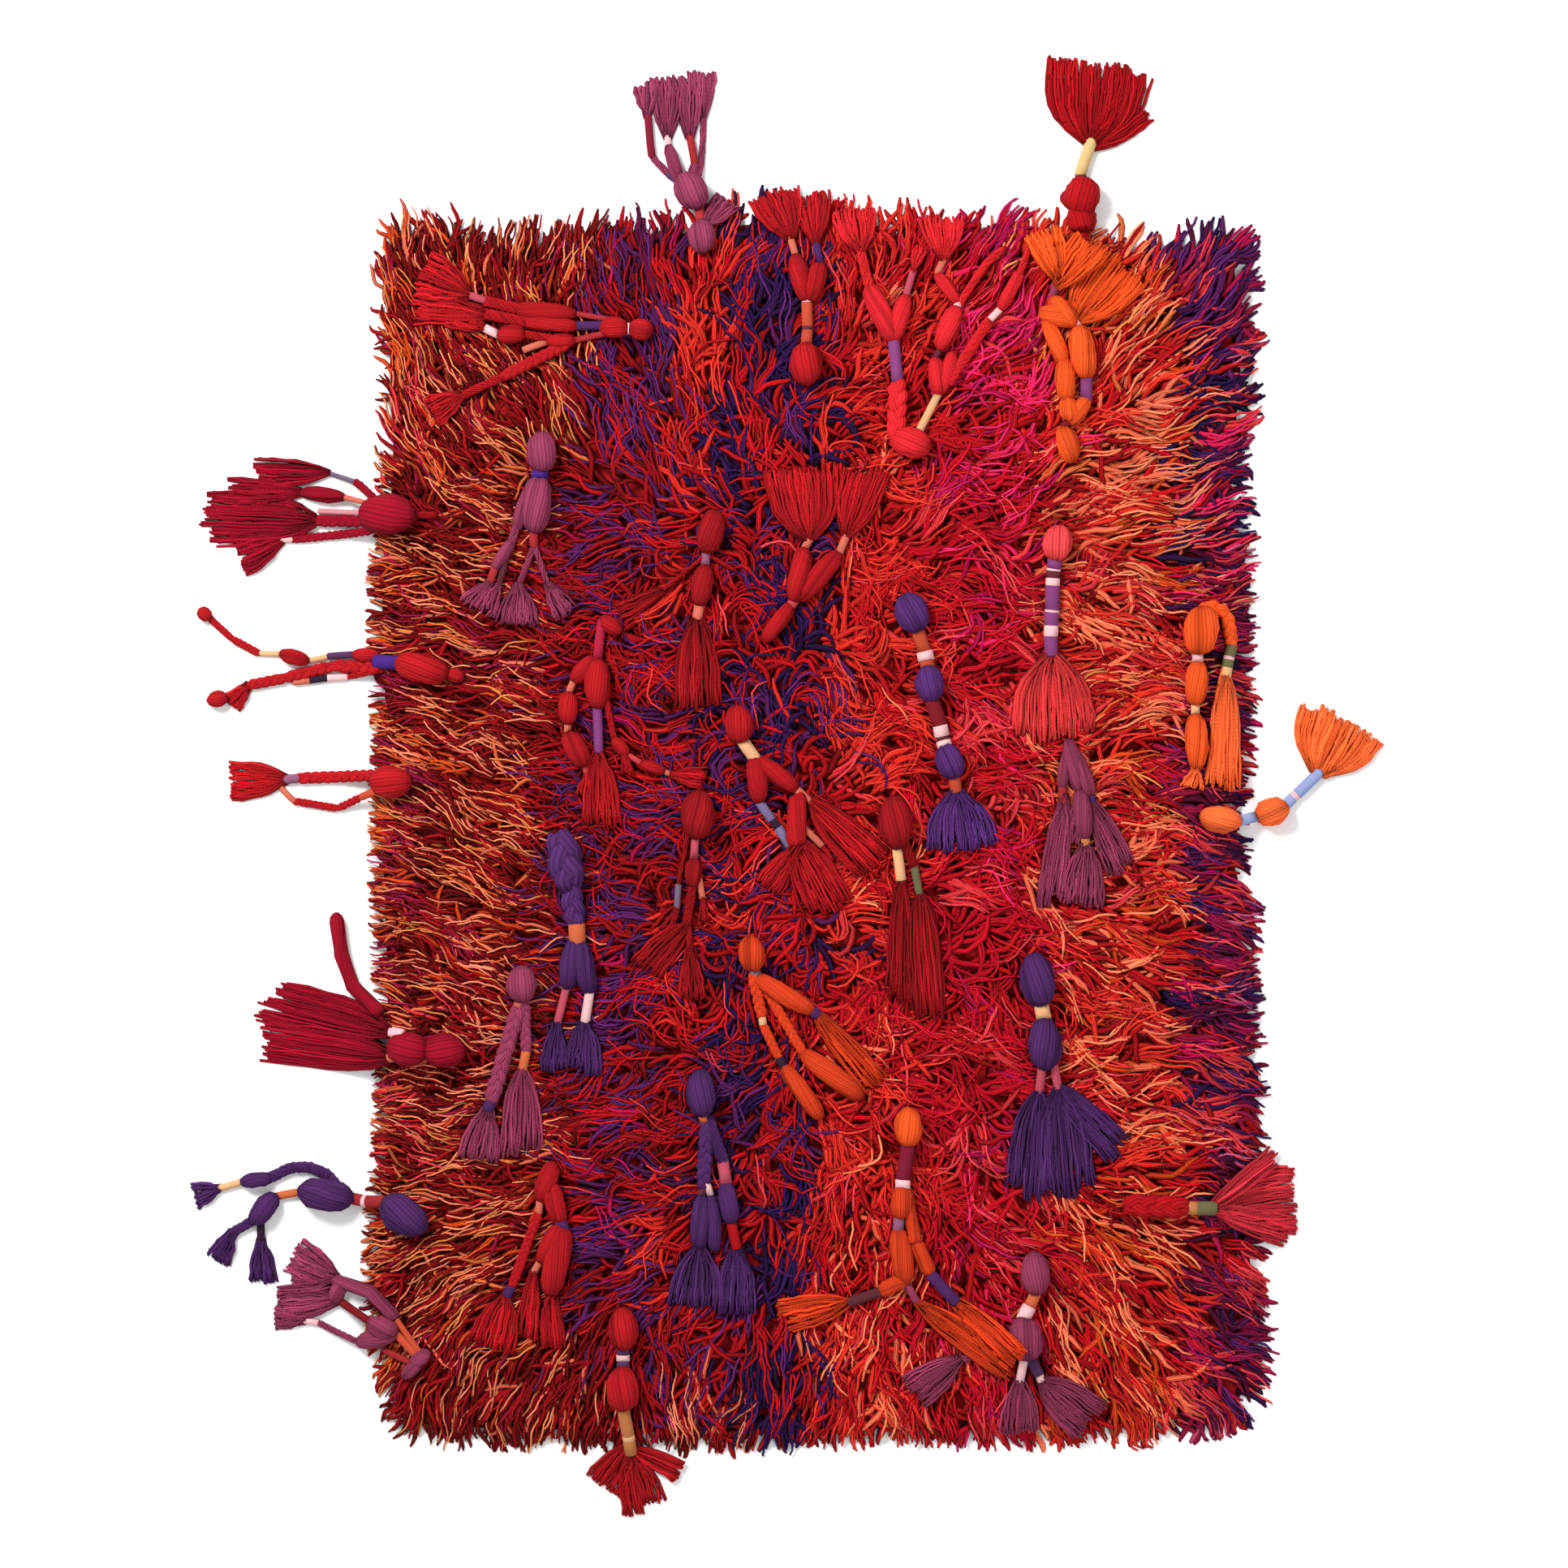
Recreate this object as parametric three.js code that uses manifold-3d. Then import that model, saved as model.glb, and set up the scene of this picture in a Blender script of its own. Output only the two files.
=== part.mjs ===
// A rya rug with a long lying pile and tied wool tassels, in millimetres, +Z up.
// The origin is on the floor, under the middle of the woven ground.
// Plan places are read from the ground's top left corner: u goes across and v goes down.
import * as THREE from 'three';
import Module from 'manifold-3d';

const wasm = await Module();
wasm.setup();

// Driving dimensions
const WIDTH = 1075; // woven ground across
const LENGTH = 1475; // woven ground down
const PILE = 24; // mean height of the pile as it lies
const RIM_HEIGHT = 9; // height of the pile at its outline
const LUMP = 3.2; // how far the pile's top rises and falls
const GAP = 0.4; // clearance between a tassel and what it lies on

// Grid of the pile's top: distances in from each edge, then even steps between
const RIM_STEPS = [0, 12, 45];
const STEPS_ACROSS = 12;
const STEPS_DOWN = 17;

// Loose locks of pile at the rim
const RIM_LOCK = {
  pitch: 76, root: 16, wide: 26, tall: 12, tipWide: 5, tipTall: 3, shortest: 18, longer: 22,
  shift: 0.4, lean: 50,
};

// Where each edge of the pile lies: `at` is along the edge, `out` is how far it is
// past the ground's straight edge, outwards being positive
const LEFT_EDGE = [
  { at: 0, out: -6 }, { at: 110, out: 0 }, { at: 300, out: -5 }, { at: 410, out: 8 },
  { at: 510, out: 10 }, { at: 610, out: 3 }, { at: 790, out: 8 }, { at: 910, out: 3 },
  { at: 1110, out: 1 }, { at: 1220, out: 14 }, { at: 1310, out: 16 }, { at: 1410, out: -2 },
  { at: 1475, out: -18 },
];
const RIGHT_EDGE = [
  { at: 0, out: -16 }, { at: 60, out: -12 }, { at: 150, out: -4 }, { at: 250, out: -14 },
  { at: 300, out: -28 }, { at: 350, out: -14 }, { at: 600, out: -12 }, { at: 730, out: -28 },
  { at: 810, out: -8 }, { at: 1010, out: -2 }, { at: 1210, out: 0 }, { at: 1310, out: 8 },
  { at: 1420, out: 10 }, { at: 1475, out: -16 },
];
const TOP_EDGE = [
  { at: 0, out: 12 }, { at: 70, out: 8 }, { at: 150, out: -4 }, { at: 230, out: -4 },
  { at: 300, out: 2 }, { at: 430, out: 22 }, { at: 520, out: 30 }, { at: 610, out: 10 },
  { at: 700, out: 14 }, { at: 800, out: 8 }, { at: 880, out: -4 }, { at: 970, out: -22 },
  { at: 1050, out: -2 }, { at: 1075, out: -2 },
];
const BOTTOM_EDGE = [
  { at: 0, out: -6 }, { at: 60, out: 4 }, { at: 230, out: 8 }, { at: 430, out: 14 },
  { at: 560, out: 6 }, { at: 830, out: 6 }, { at: 930, out: -2 }, { at: 1030, out: -10 },
  { at: 1075, out: -26 },
];

// Shape of one run of yarn: rows of how far along it is and how wide it is there
const SWELL = {
  ball: [{ along: 0.16, wide: 0.8 }, { along: 0.5, wide: 1 }, { along: 0.84, wide: 0.8 }],
  bulb: [{ along: 0.27, wide: 0.94 }, { along: 0.74, wide: 0.96 }],
};
const NECK = 0.45; // width of the waist between two bulbs
const CLOSED_END = 0.4; // width of a ball's or bulb's closed end
const SQUASH = 0.9; // height of a run of yarn for its width
const RIDGE = { pitch: 36, waist: 0.82 }; // a plait's swellings
const LONG_STEP = 60; // longest straight step of a cord or wrap
const SLOPE = 0.55; // steepest fall of a hanging run of yarn
const WIDE_BULB = 23; // runs at least this wide get the rounder section
const SIDES = { slim: 4, wide: 6 };

// Skirts: how many locks one has, how uneven and rounded their tips lie, and steps along a lock
const SKIRT = {
  lockWide: 24, fewest: 2, most: 5, long: 75, palm: 0.35, ahead: 3, inset: 9, rootWide: 0.9, bareRoot: 9,
  uneven: 0.14, rounded: 0.12,
};
const LOCK_STEPS = [
  { along: 0, spread: 0, wide: 0.4, tall: 8 },
  { along: SKIRT.palm, spread: 0.5, wide: 0.5, tall: 8.5 },
  { along: 0.7, spread: 0.8, wide: 0.58, tall: 7.5, long: true },
  { along: 1, spread: 1, wide: 0.56, tall: 4.5 },
];

// Runs of yarn end at u, v and are `wide` across; limbs start at u, v
const run = (kind) => (u, v, wide) => ({ kind, u, v, wide });
const [ball, bulb, cord, braid, wrap, skirt] = ['ball', 'bulb', 'cord', 'braid', 'wrap', 'skirt'].map(run);
const limb = (u, v, ...runs) => ({ u, v, runs });
const tassel = (name, yarn, limbs) => ({ name, yarn, limbs });

// Colours of the yarns that the tassels are made of
const YARN = {
  crimson: 0xb4052d, scarlet: 0xd71419, vermilion: 0xe0281e, madder: 0xa5141e, red: 0xc3141c,
  mauve: 0xa04178, indigo: 0x462d78, orange: 0xfa6414, coral: 0xd63a3c,
};
const PILE_COLOUR = 0xa81e1c;

// The tassels, in the order in which they lie on one another
const TASSELS = [
  tassel('left_1', 'crimson', [
    limb(66, 345, cord(40, 345, 14), bulb(-22, 345, 52)),
    limb(-2, 330, cord(-32, 303, 11), wrap(-66, 292, 5), skirt(-168, 286, 30)),
    limb(-12, 332, wrap(-46, 322, 6), bulb(-100, 316, 19), skirt(-198, 314, 34)),
    limb(-18, 345, wrap(-84, 338, 8), skirt(-226, 346, 62)),
    limb(-12, 364, braid(-112, 374, 11), wrap(-124, 374, 7), skirt(-190, 392, 46)),
  ]),
  tassel('left_2', 'scarlet', [
    limb(100, 545, bulb(82, 540, 18), bulb(22, 527, 38), wrap(-8, 525, 24)),
    limb(-4, 519, bulb(-35, 516, 18), wrap(-92, 524, 7),
      bulb(-125, 515, 20), wrap(-152, 515, 6), braid(-185, 497, 10), braid(-215, 470, 9),
      bulb(-224, 462, 18)),
    limb(-4, 533, braid(-60, 530, 17), braid(-120, 545, 15), braid(-165, 554, 14), skirt(-190, 580, 28)),
    limb(-160, 552, cord(-193, 569, 6), ball(-213, 573, 22)),
    limb(0, 535, cord(-45, 544, 9), wrap(-108, 550, 8)),
  ]),
  tassel('left_3', 'scarlet', [
    limb(34, 675, ball(-10, 672, 40)),
    limb(0, 665, braid(-105, 669, 15), wrap(-118, 670, 11), skirt(-200, 672, 50)),
    limb(-4, 684, wrap(-25, 692, 9), braid(-55, 706, 10), braid(-110, 697, 10),
      wrap(-124, 682, 7)),
  ]),
  tassel('left_4', 'crimson', [
    limb(100, 1003, ball(58, 1003, 44), wrap(54, 1003, 22), ball(12, 1000, 44)),
    limb(28, 988, wrap(10, 980, 8), cord(-50, 955, 38), skirt(-155, 942, 54)),
    limb(20, 1008, cord(-60, 992, 32), skirt(-165, 988, 48)),
    limb(-25, 958, cord(-50, 910, 18), cord(-57, 834, 18)),
  ]),
  tassel('left_6', 'mauve', [
    limb(58, 1375, bulb(38, 1390, 20)),
    limb(47, 1388, bulb(28, 1405, 18)),
    limb(47, 1383, wrap(18, 1352, 9), bulb(-14, 1338, 28), wrap(-55, 1313, 9),
      skirt(-140, 1320, 46)),
    limb(51, 1380, wrap(18, 1335, 7), cord(-5, 1305, 16), cord(-60, 1288, 18),
      skirt(-120, 1286, 44)),
    limb(-55, 1288, skirt(-115, 1252, 44)),
    limb(-50, 1292, bulb(-60, 1314, 20)),
    limb(18, 1352, bulb(-30, 1365, 24), cord(-80, 1341, 9), wrap(-96, 1339, 7),
      skirt(-140, 1336, 30)),
    limb(40, 1390, wrap(4, 1374, 7), cord(-10, 1358, 8)),
  ]),
  tassel('left_5', 'indigo', [
    limb(52, 1222, ball(5, 1190, 46), wrap(-40, 1187, 14), bulb(-98, 1172, 46)),
    limb(-45, 1172, cord(-95, 1152, 14), cord(-142, 1166, 12), ball(-173, 1167, 20),
      wrap(-200, 1175, 8), skirt(-238, 1187, 34)),
    limb(-92, 1178, wrap(-132, 1185, 9), bulb(-158, 1214, 28), cord(-185, 1230, 14),
      skirt(-207, 1268, 34)),
    limb(-150, 1210, wrap(-150, 1238, 9), skirt(-147, 1296, 34)),
  ]),
  tassel('upper_1', 'scarlet', [
    limb(332, 118, ball(308, 116, 28), wrap(302, 116, 14), ball(272, 114, 28)),
    limb(286, 106, wrap(240, 97, 6), bulb(170, 92, 22), cord(130, 82, 16),
      wrap(107, 74, 9), skirt(45, 50, 65)),
    limb(284, 112, wrap(240, 112, 10), bulb(180, 108, 20), cord(130, 98, 16),
      skirt(35, 88, 34)),
    limb(284, 120, wrap(238, 130, 7), bulb(205, 131, 20), wrap(175, 142, 8)),
    limb(214, 128, cord(175, 122, 12), bulb(145, 124, 24), wrap(128, 115, 10),
      skirt(80, 97, 30)),
    limb(230, 134, braid(150, 175, 15), cord(100, 198, 12), skirt(60, 220, 38)),
  ]),
  tassel('top_2', 'red', [
    limb(866, 28, cord(865, -4, 15), bulb(862, -60, 46), wrap(861, -76, 13), wrap(875, -116, 14),
      skirt(886, -218, 140)),
    limb(872, -40, bulb(842, -48, 30)),
  ]),
  tassel('top_1', 'mauve', [
    limb(395, 20, ball(394, -16, 34), wrap(391, -38, 12), bulb(372, -70, 42)),
    limb(372, -66, wrap(354, -76, 9), cord(332, -100, 10), wrap(328, -148, 9),
      skirt(325, -188, 32)),
    limb(366, -68, bulb(353, -112, 17), wrap(352, -122, 8), skirt(352, -198, 40)),
    limb(382, -66, bulb(386, -90, 14), wrap(380, -122, 9), skirt(378, -200, 34)),
    limb(386, -60, cord(394, -90, 9), cord(397, -150, 9), skirt(398, -198, 28)),
    limb(398, -12, skirt(430, -48, 35)),
  ]),
  tassel('upper_2', 'madder', [
    limb(523, 182, ball(523, 136, 42), wrap(524, 74, 13)),
    limb(523, 80, bulb(510, 25, 26), wrap(504, 3, 8), skirt(478, -62, 62)),
    limb(527, 80, bulb(541, 36, 26), wrap(535, 10, 9), skirt(528, -60, 45)),
  ]),
  tassel('upper_3', 'vermilion', [
    limb(672, 262, ball(630, 250, 38)),
    limb(634, 250, braid(636, 182, 24), wrap(630, 122, 14)),
    limb(631, 130, bulb(601, 65, 28), cord(590, 20, 14), skirt(580, -38, 56)),
    limb(631, 130, bulb(646, 75, 24), wrap(655, 45, 8), skirt(664, 12, 18)),
    limb(658, 250, wrap(686, 196, 9), bulb(682, 152, 22), wrap(688, 141, 8),
      bulb(709, 90, 28), wrap(711, 80, 9)),
    limb(688, 194, bulb(704, 145, 20)),
    limb(711, 84, bulb(684, 48, 17), wrap(693, 30, 8), skirt(690, -30, 55)),
    limb(712, 84, cord(745, 35, 13), cord(768, 15, 11)),
    limb(698, 182, cord(748, 106, 15), wrap(762, 92, 8), bulb(785, 50, 17),
      cord(800, 12, 14), cord(824, 22, 10)),
  ]),
  tassel('upper_4', 'orange', [
    limb(850, 278, bulb(840, 238, 28), wrap(848, 228, 12), bulb(843, 203, 26),
      bulb(840, 155, 26)),
    limb(848, 232, bulb(868, 204, 22), wrap(868, 175, 14), bulb(858, 114, 34),
      wrap(852, 106, 13), bulb(812, 95, 26)),
    limb(853, 112, bulb(826, 78, 26), wrap(833, 55, 10), skirt(810, -12, 46)),
    limb(833, 62, skirt(880, 5, 50)),
    limb(856, 104, skirt(920, 24, 84)),
    limb(842, 160, bulb(818, 104, 22)),
  ]),
  tassel('field_1', 'mauve', [
    limb(200, 247, ball(197, 288, 40), wrap(195, 302, 20), bulb(190, 364, 36)),
    limb(188, 302, bulb(167, 362, 20)),
    limb(188, 358, wrap(188, 384, 10), cord(170, 430, 9), skirt(168, 488, 48)),
    limb(188, 380, cord(205, 430, 9), skirt(228, 472, 32)),
    limb(168, 356, cord(160, 380, 12), bulb(140, 410, 16), wrap(134, 428, 9),
      skirt(105, 458, 28)),
    limb(158, 384, wrap(146, 428, 7), skirt(130, 470, 24)),
  ]),
  tassel('field_2', 'madder', [
    limb(411, 342, bulb(400, 390, 34), wrap(399, 408, 10), bulb(392, 455, 28),
      wrap(389, 473, 12), skirt(390, 595, 56)),
    limb(398, 396, cord(345, 438, 7), skirt(290, 465, 24)),
    limb(402, 394, cord(438, 414, 7)),
  ]),
  tassel('field_3', 'scarlet', [
    limb(472, 499, bulb(504, 457, 22), wrap(513, 444, 12)),
    limb(509, 450, bulb(521, 386, 28), wrap(528, 374, 9), skirt(516, 280, 96)),
    limb(514, 448, bulb(564, 392, 26), wrap(573, 370, 9), skirt(603, 282, 56)),
  ]),
  tassel('field_4', 'scarlet', [
    limb(294, 488, bulb(272, 474, 20), wrap(266, 524, 11), bulb(268, 580, 34)),
    limb(262, 522, bulb(237, 549, 24), wrap(231, 564, 8), bulb(230, 601, 26),
      wrap(229, 613, 8), bulb(251, 653, 28), wrap(254, 664, 8), skirt(251, 692, 22)),
    limb(266, 574, wrap(268, 637, 11), skirt(272, 738, 48)),
    limb(276, 566, cord(287, 621, 9), bulb(303, 640, 16), wrap(320, 650, 6),
      bulb(349, 661, 15), wrap(357, 664, 6), skirt(404, 671, 28)),
    limb(300, 636, skirt(305, 668, 14)),
  ]),
  tassel('field_5', 'scarlet', [
    limb(437, 583, ball(444, 622, 36), wrap(464, 650, 15)),
    limb(460, 644, bulb(465, 698, 27), wrap(503, 752, 11), cord(510, 762, 12)),
    limb(462, 646, bulb(511, 682, 25), wrap(528, 699, 10), skirt(620, 790, 52)),
    limb(522, 693, cord(502, 702, 16), cord(512, 752, 26), skirt(474, 806, 34)),
    limb(512, 748, skirt(556, 834, 62)),
    limb(506, 716, wrap(543, 752, 8), cord(556, 770, 8)),
  ]),
  tassel('field_6', 'indigo', [
    limb(646, 446, ball(660, 486, 42), wrap(673, 534, 17), ball(677, 571, 36), wrap(694, 631, 18),
      ball(705, 667, 35), wrap(708, 685, 14), skirt(716, 768, 88)),
  ]),
  tassel('field_8', 'mauve', [
    limb(846, 622, bulb(860, 684, 22), bulb(866, 742, 24), wrap(868, 751, 10),
      skirt(862, 834, 56)),
    limb(850, 632, bulb(874, 690, 22), wrap(876, 700, 9), skirt(916, 790, 36)),
    limb(847, 628, bulb(838, 680, 16), wrap(840, 701, 10), skirt(833, 752, 30),
      skirt(821, 838, 34)),
    limb(864, 688, skirt(846, 754, 24)),
  ]),
  tassel('field_7', 'coral', [
    limb(836, 362, ball(829, 398, 38), wrap(825, 518, 17), skirt(829, 630, 104)),
  ]),
  tassel('field_9', 'orange', [
    limb(1004, 478, braid(1016, 456, 18), braid(1041, 466, 18), braid(1048, 505, 17),
      wrap(1040, 543, 13), skirt(1037, 690, 38)),
    limb(1012, 462, bulb(1004, 514, 44), wrap(1005, 527, 13), bulb(1002, 577, 30),
      wrap(1002, 591, 10), bulb(1004, 655, 29), skirt(997, 684, 26)),
    limb(1040, 536, skirt(1022, 686, 20)),
  ]),
  tassel('right_1', 'orange', [
    limb(1011, 716, ball(1056, 722, 36), wrap(1080, 716, 13), ball(1120, 708, 36),
      wrap(1130, 688, 13), wrap(1154, 659, 13), skirt(1190, 590, 112)),
  ]),
  tassel('right_2', 'coral', [
    limb(917, 1193, braid(990, 1197, 28), wrap(1028, 1198, 17),
      skirt(1140, 1188, 84)),
    limb(1024, 1200, skirt(1134, 1234, 36)),
    limb(1024, 1194, skirt(1108, 1130, 24)),
  ]),
  tassel('field_10', 'indigo', [
    limb(222, 740, braid(232, 800, 44), braid(241, 848, 28), wrap(242, 874, 20)),
    limb(239, 868, bulb(228, 927, 27), wrap(217, 970, 9), skirt(211, 1036, 32)),
    limb(244, 868, bulb(257, 932, 27), wrap(251, 969, 11), skirt(249, 1036, 48)),
  ]),
  tassel('field_11', 'mauve', [
    limb(175, 903, ball(172, 942, 38), wrap(169, 952, 13), braid(136, 1066, 20),
      wrap(131, 1077, 14), skirt(118, 1142, 50)),
    limb(176, 936, braid(179, 1005, 15), wrap(174, 1028, 11), skirt(172, 1142, 50)),
  ]),
  tassel('field_12', 'madder', [
    limb(392, 688, ball(387, 742, 44), wrap(385, 769, 9), bulb(384, 800, 22),
      cord(376, 848, 13), skirt(322, 907, 42)),
    limb(377, 840, cord(380, 881, 10), skirt(384, 944, 32)),
    limb(380, 726, cord(366, 800, 7), wrap(364, 830, 7), skirt(350, 862, 14)),
    limb(390, 782, wrap(396, 817, 7), skirt(398, 846, 12)),
  ]),
  tassel('field_13', 'madder', [
    limb(631, 695, ball(635, 754, 42), wrap(640, 794, 12), skirt(637, 960, 42)),
    limb(642, 746, cord(656, 776, 14), wrap(663, 813, 9), skirt(676, 984, 60)),
  ]),
  tassel('field_14', 'orange', [
    limb(454, 866, ball(459, 904, 34), wrap(462, 915, 13), bulb(531, 954, 26),
      wrap(538, 961, 13), skirt(620, 1058, 46)),
    limb(458, 910, braid(469, 962, 15), wrap(470, 972, 9), braid(490, 1013, 12),
      wrap(496, 1024, 10), skirt(538, 1087, 28)),
    limb(464, 912, braid(520, 1007, 13), skirt(590, 1062, 34)),
  ]),
  tassel('field_15', 'indigo', [
    limb(803, 888, ball(812, 946, 44), wrap(816, 967, 18), ball(818, 1024, 43)),
    limb(814, 1014, wrap(810, 1056, 10), skirt(800, 1192, 64)),
    limb(826, 1014, wrap(834, 1053, 10), skirt(846, 1192, 70)),
    limb(834, 1050, skirt(916, 1136, 40)),
  ]),
  tassel('field_16', 'indigo', [
    limb(394, 1031, ball(396, 1082, 38), wrap(401, 1092, 14), braid(397, 1172, 19),
      wrap(394, 1183, 9), bulb(392, 1246, 25), skirt(386, 1332, 70)),
    limb(402, 1086, cord(421, 1140, 17), wrap(425, 1169, 14), bulb(431, 1215, 25),
      wrap(438, 1248, 12), skirt(436, 1332, 52)),
    limb(399, 1160, wrap(406, 1183, 8), bulb(411, 1250, 22)),
  ]),
  tassel('field_17', 'scarlet', [
    limb(212, 1143, bulb(196, 1188, 26), wrap(194, 1204, 9), braid(161, 1295, 13),
      wrap(154, 1306, 12), skirt(135, 1375, 58)),
    limb(206, 1164, bulb(221, 1213, 26), wrap(225, 1224, 15), bulb(208, 1303, 32),
      skirt(212, 1378, 32)),
    limb(222, 1220, bulb(196, 1264, 25), wrap(188, 1277, 9), skirt(179, 1364, 26)),
  ]),
  tassel('field_18', 'scarlet', [
    limb(298, 1323, ball(298, 1369, 38), wrap(298, 1395, 15), ball(298, 1444, 42), wrap(307, 1502, 15),
      skirt(325, 1580, 56)),
    limb(304, 1494, skirt(270, 1550, 50)),
    limb(308, 1496, skirt(372, 1526, 28)),
  ]),
  tassel('field_20', 'mauve', [
    limb(804, 1255, ball(806, 1302, 38), wrap(798, 1319, 14), wrap(789, 1335, 17),
      bulb(798, 1382, 40), wrap(810, 1403, 13), wrap(813, 1411, 10),
      skirt(880, 1466, 60)),
    limb(792, 1376, wrap(786, 1411, 10), skirt(788, 1483, 48)),
    limb(788, 1366, cord(713, 1384, 10), skirt(646, 1434, 50)),
  ]),
  tassel('field_19', 'orange', [
    limb(648, 1077, ball(649, 1118, 35), wrap(642, 1174, 17),
      bulb(638, 1208, 27), wrap(636, 1225, 13), bulb(646, 1290, 28),
      wrap(660, 1314, 9), skirt(784, 1405, 50)),
    limb(645, 1170, bulb(657, 1238, 17), cord(676, 1279, 20), wrap(708, 1314, 14),
      skirt(790, 1386, 56)),
    limb(646, 1284, cord(614, 1301, 20), wrap(575, 1314, 12), skirt(483, 1334, 48)),
  ]),
];

// Small helpers
const at = (u, v, z = 0) => new THREE.Vector3(u - WIDTH / 2, LENGTH / 2 - v, z);
const mix = THREE.MathUtils.lerp;

// A repeatable number from 0 to 1 for whole number k and salt
function chance(k, salt) {
  const wave = Math.sin(k * 12.9898 + salt * 78.233) * 43758.5453;
  return wave - Math.floor(wave);
}

// Value of a table of rows at x, straight between rows
function between(rows, x, key, column) {
  const last = rows.findIndex((row) => row[key] >= x);
  if (last === 0) return rows[0][column];
  if (last < 0) return rows[rows.length - 1][column];
  const [a, b] = [rows[last - 1], rows[last]];
  return mix(a[column], b[column], (x - a[key]) / (b[key] - a[key]));
}

// Geometry from points and triangles of point numbers
function geometryOf(points, triangles) {
  const geometry = new THREE.BufferGeometry();
  const numbers = points.flatMap(({ x, y, z }) => [x, y, z]);
  geometry.setAttribute('position', new THREE.Float32BufferAttribute(numbers, 3));
  geometry.setIndex(triangles);
  return geometry;
}

// Triangles between two rings of point numbers, which may have different counts of points
function bridge(near, far) {
  const triangles = [];
  let [i, j] = [0, 0];
  while (i < near.length || j < far.length) {
    const [a, b] = [near[i % near.length], far[j % far.length]];
    if ((i + 0.5) / near.length < (j + 0.5) / far.length) {
      triangles.push(a, near[(i + 1) % near.length], b);
      i += 1;
    } else {
      triangles.push(a, far[(j + 1) % far.length], b);
      j += 1;
    }
  }
  return triangles;
}

// Skin over rings of points, each ring turning about the way ahead; the last stays open
function openSkin(rings) {
  const count = rings[0].length;
  const numbers = rings.map((ring, r) => ring.map((_, k) => r * count + k));
  const triangles = numbers.slice(1).flatMap((ring, r) => bridge(numbers[r], ring));
  for (let k = 1; k + 1 < count; k += 1) triangles.push(0, k + 1, k);
  return { points: rings.flat(), triangles, lastRing: numbers[numbers.length - 1] };
}

function closedSkin({ points, triangles, lastRing }) {
  for (let k = 1; k + 1 < lastRing.length; k += 1) triangles.push(lastRing[0], lastRing[k], lastRing[k + 1]);
  return geometryOf(points, triangles);
}

// Joins closed geometries into one
function fuse(geometries) {
  const solids = geometries.map((geometry) => new wasm.Manifold(new wasm.Mesh({
    numProp: 3,
    vertProperties: new Float32Array(geometry.attributes.position.array),
    triVerts: new Uint32Array(geometry.index.array),
  })));
  const mesh = solids.reduce((whole, solid) => whole.add(solid)).getMesh();
  const joined = new THREE.BufferGeometry();
  joined.setAttribute('position', new THREE.BufferAttribute(new Float32Array(mesh.vertProperties), 3));
  joined.setIndex(new THREE.BufferAttribute(new Uint32Array(mesh.triVerts), 1));
  return joined;
}

// Height of what lies on the floor so far, on a square grid of cells
class Terrain {
  constructor() {
    this.cell = 2;
    this.reach = 300; // how far the grid goes past the ground's edges
    this.columns = Math.ceil((WIDTH + 2 * this.reach) / this.cell);
    this.rows = Math.ceil((LENGTH + 2 * this.reach) / this.cell);
    this.height = new Float32Array(this.columns * this.rows).fill(-GAP);
  }

  slot(x, y) {
    return [(x + WIDTH / 2 + this.reach) / this.cell, (y + LENGTH / 2 + this.reach) / this.cell];
  }

  // Raises the cells under a geometry to the top of its triangles
  lay(geometry) {
    const [place, index] = [geometry.attributes.position, geometry.index];
    const corner = [new THREE.Vector3(), new THREE.Vector3(), new THREE.Vector3()];
    for (let t = 0; t < index.count; t += 3) {
      corner.forEach((point, k) => point.fromBufferAttribute(place, index.getX(t + k)));
      this.layTriangle(...corner);
    }
  }

  layTriangle(a, b, c) {
    const longest = Math.max(a.distanceTo(b), b.distanceTo(c), c.distanceTo(a));
    const parts = Math.ceil((2 * longest) / this.cell);
    for (let i = 0; i <= parts; i += 1) {
      for (let j = 0; i + j <= parts; j += 1) {
        const [p, q] = [i / parts, j / parts];
        const mixed = (axis) => a[axis] * (1 - p - q) + b[axis] * p + c[axis] * q;
        const [column, row] = this.slot(mixed('x'), mixed('y')).map(Math.round);
        const cell = row * this.columns + column;
        this.height[cell] = Math.max(this.height[cell], mixed('z'));
      }
    }
  }

  // Highest of the four cells around a point
  top(x, y) {
    const [column, row] = this.slot(x, y).map(Math.floor);
    const cell = row * this.columns + column;
    const around = [cell, cell + 1, cell + this.columns, cell + this.columns + 1];
    return Math.max(...around.map((k) => this.height[k]));
  }
}

// The rug: outline, top of the pile, and its closed solid
const leftEdge = (v) => -between(LEFT_EDGE, v, 'at', 'out');
const rightEdge = (v) => WIDTH + between(RIGHT_EDGE, v, 'at', 'out');
const topEdge = (u) => -between(TOP_EDGE, u, 'at', 'out');
const bottomEdge = (u) => LENGTH + between(BOTTOM_EDGE, u, 'at', 'out');

// Steps along one side of the grid, close together near both edges
function gridSteps(size, steps) {
  const rim = RIM_STEPS[RIM_STEPS.length - 1];
  const middle = Array.from({ length: steps - 1 }, (_, k) => mix(rim, size - rim, (k + 1) / steps));
  return [...RIM_STEPS, ...middle, ...RIM_STEPS.map((step) => size - step).reverse()];
}

// Top of the pile: rounded off towards the rim, with soft lumps
function pileTop(u, v) {
  const inside = Math.min(u, WIDTH - u, v, LENGTH - v);
  const rim = RIM_STEPS[RIM_STEPS.length - 1];
  const rise = Math.sqrt(Math.min(1, inside / rim));
  const lump = Math.sin(u / 41 + 2 * Math.sin(v / 97)) * Math.cos(v / 53 + u / 180);
  return mix(RIM_HEIGHT, PILE + LUMP * lump, rise);
}

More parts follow.
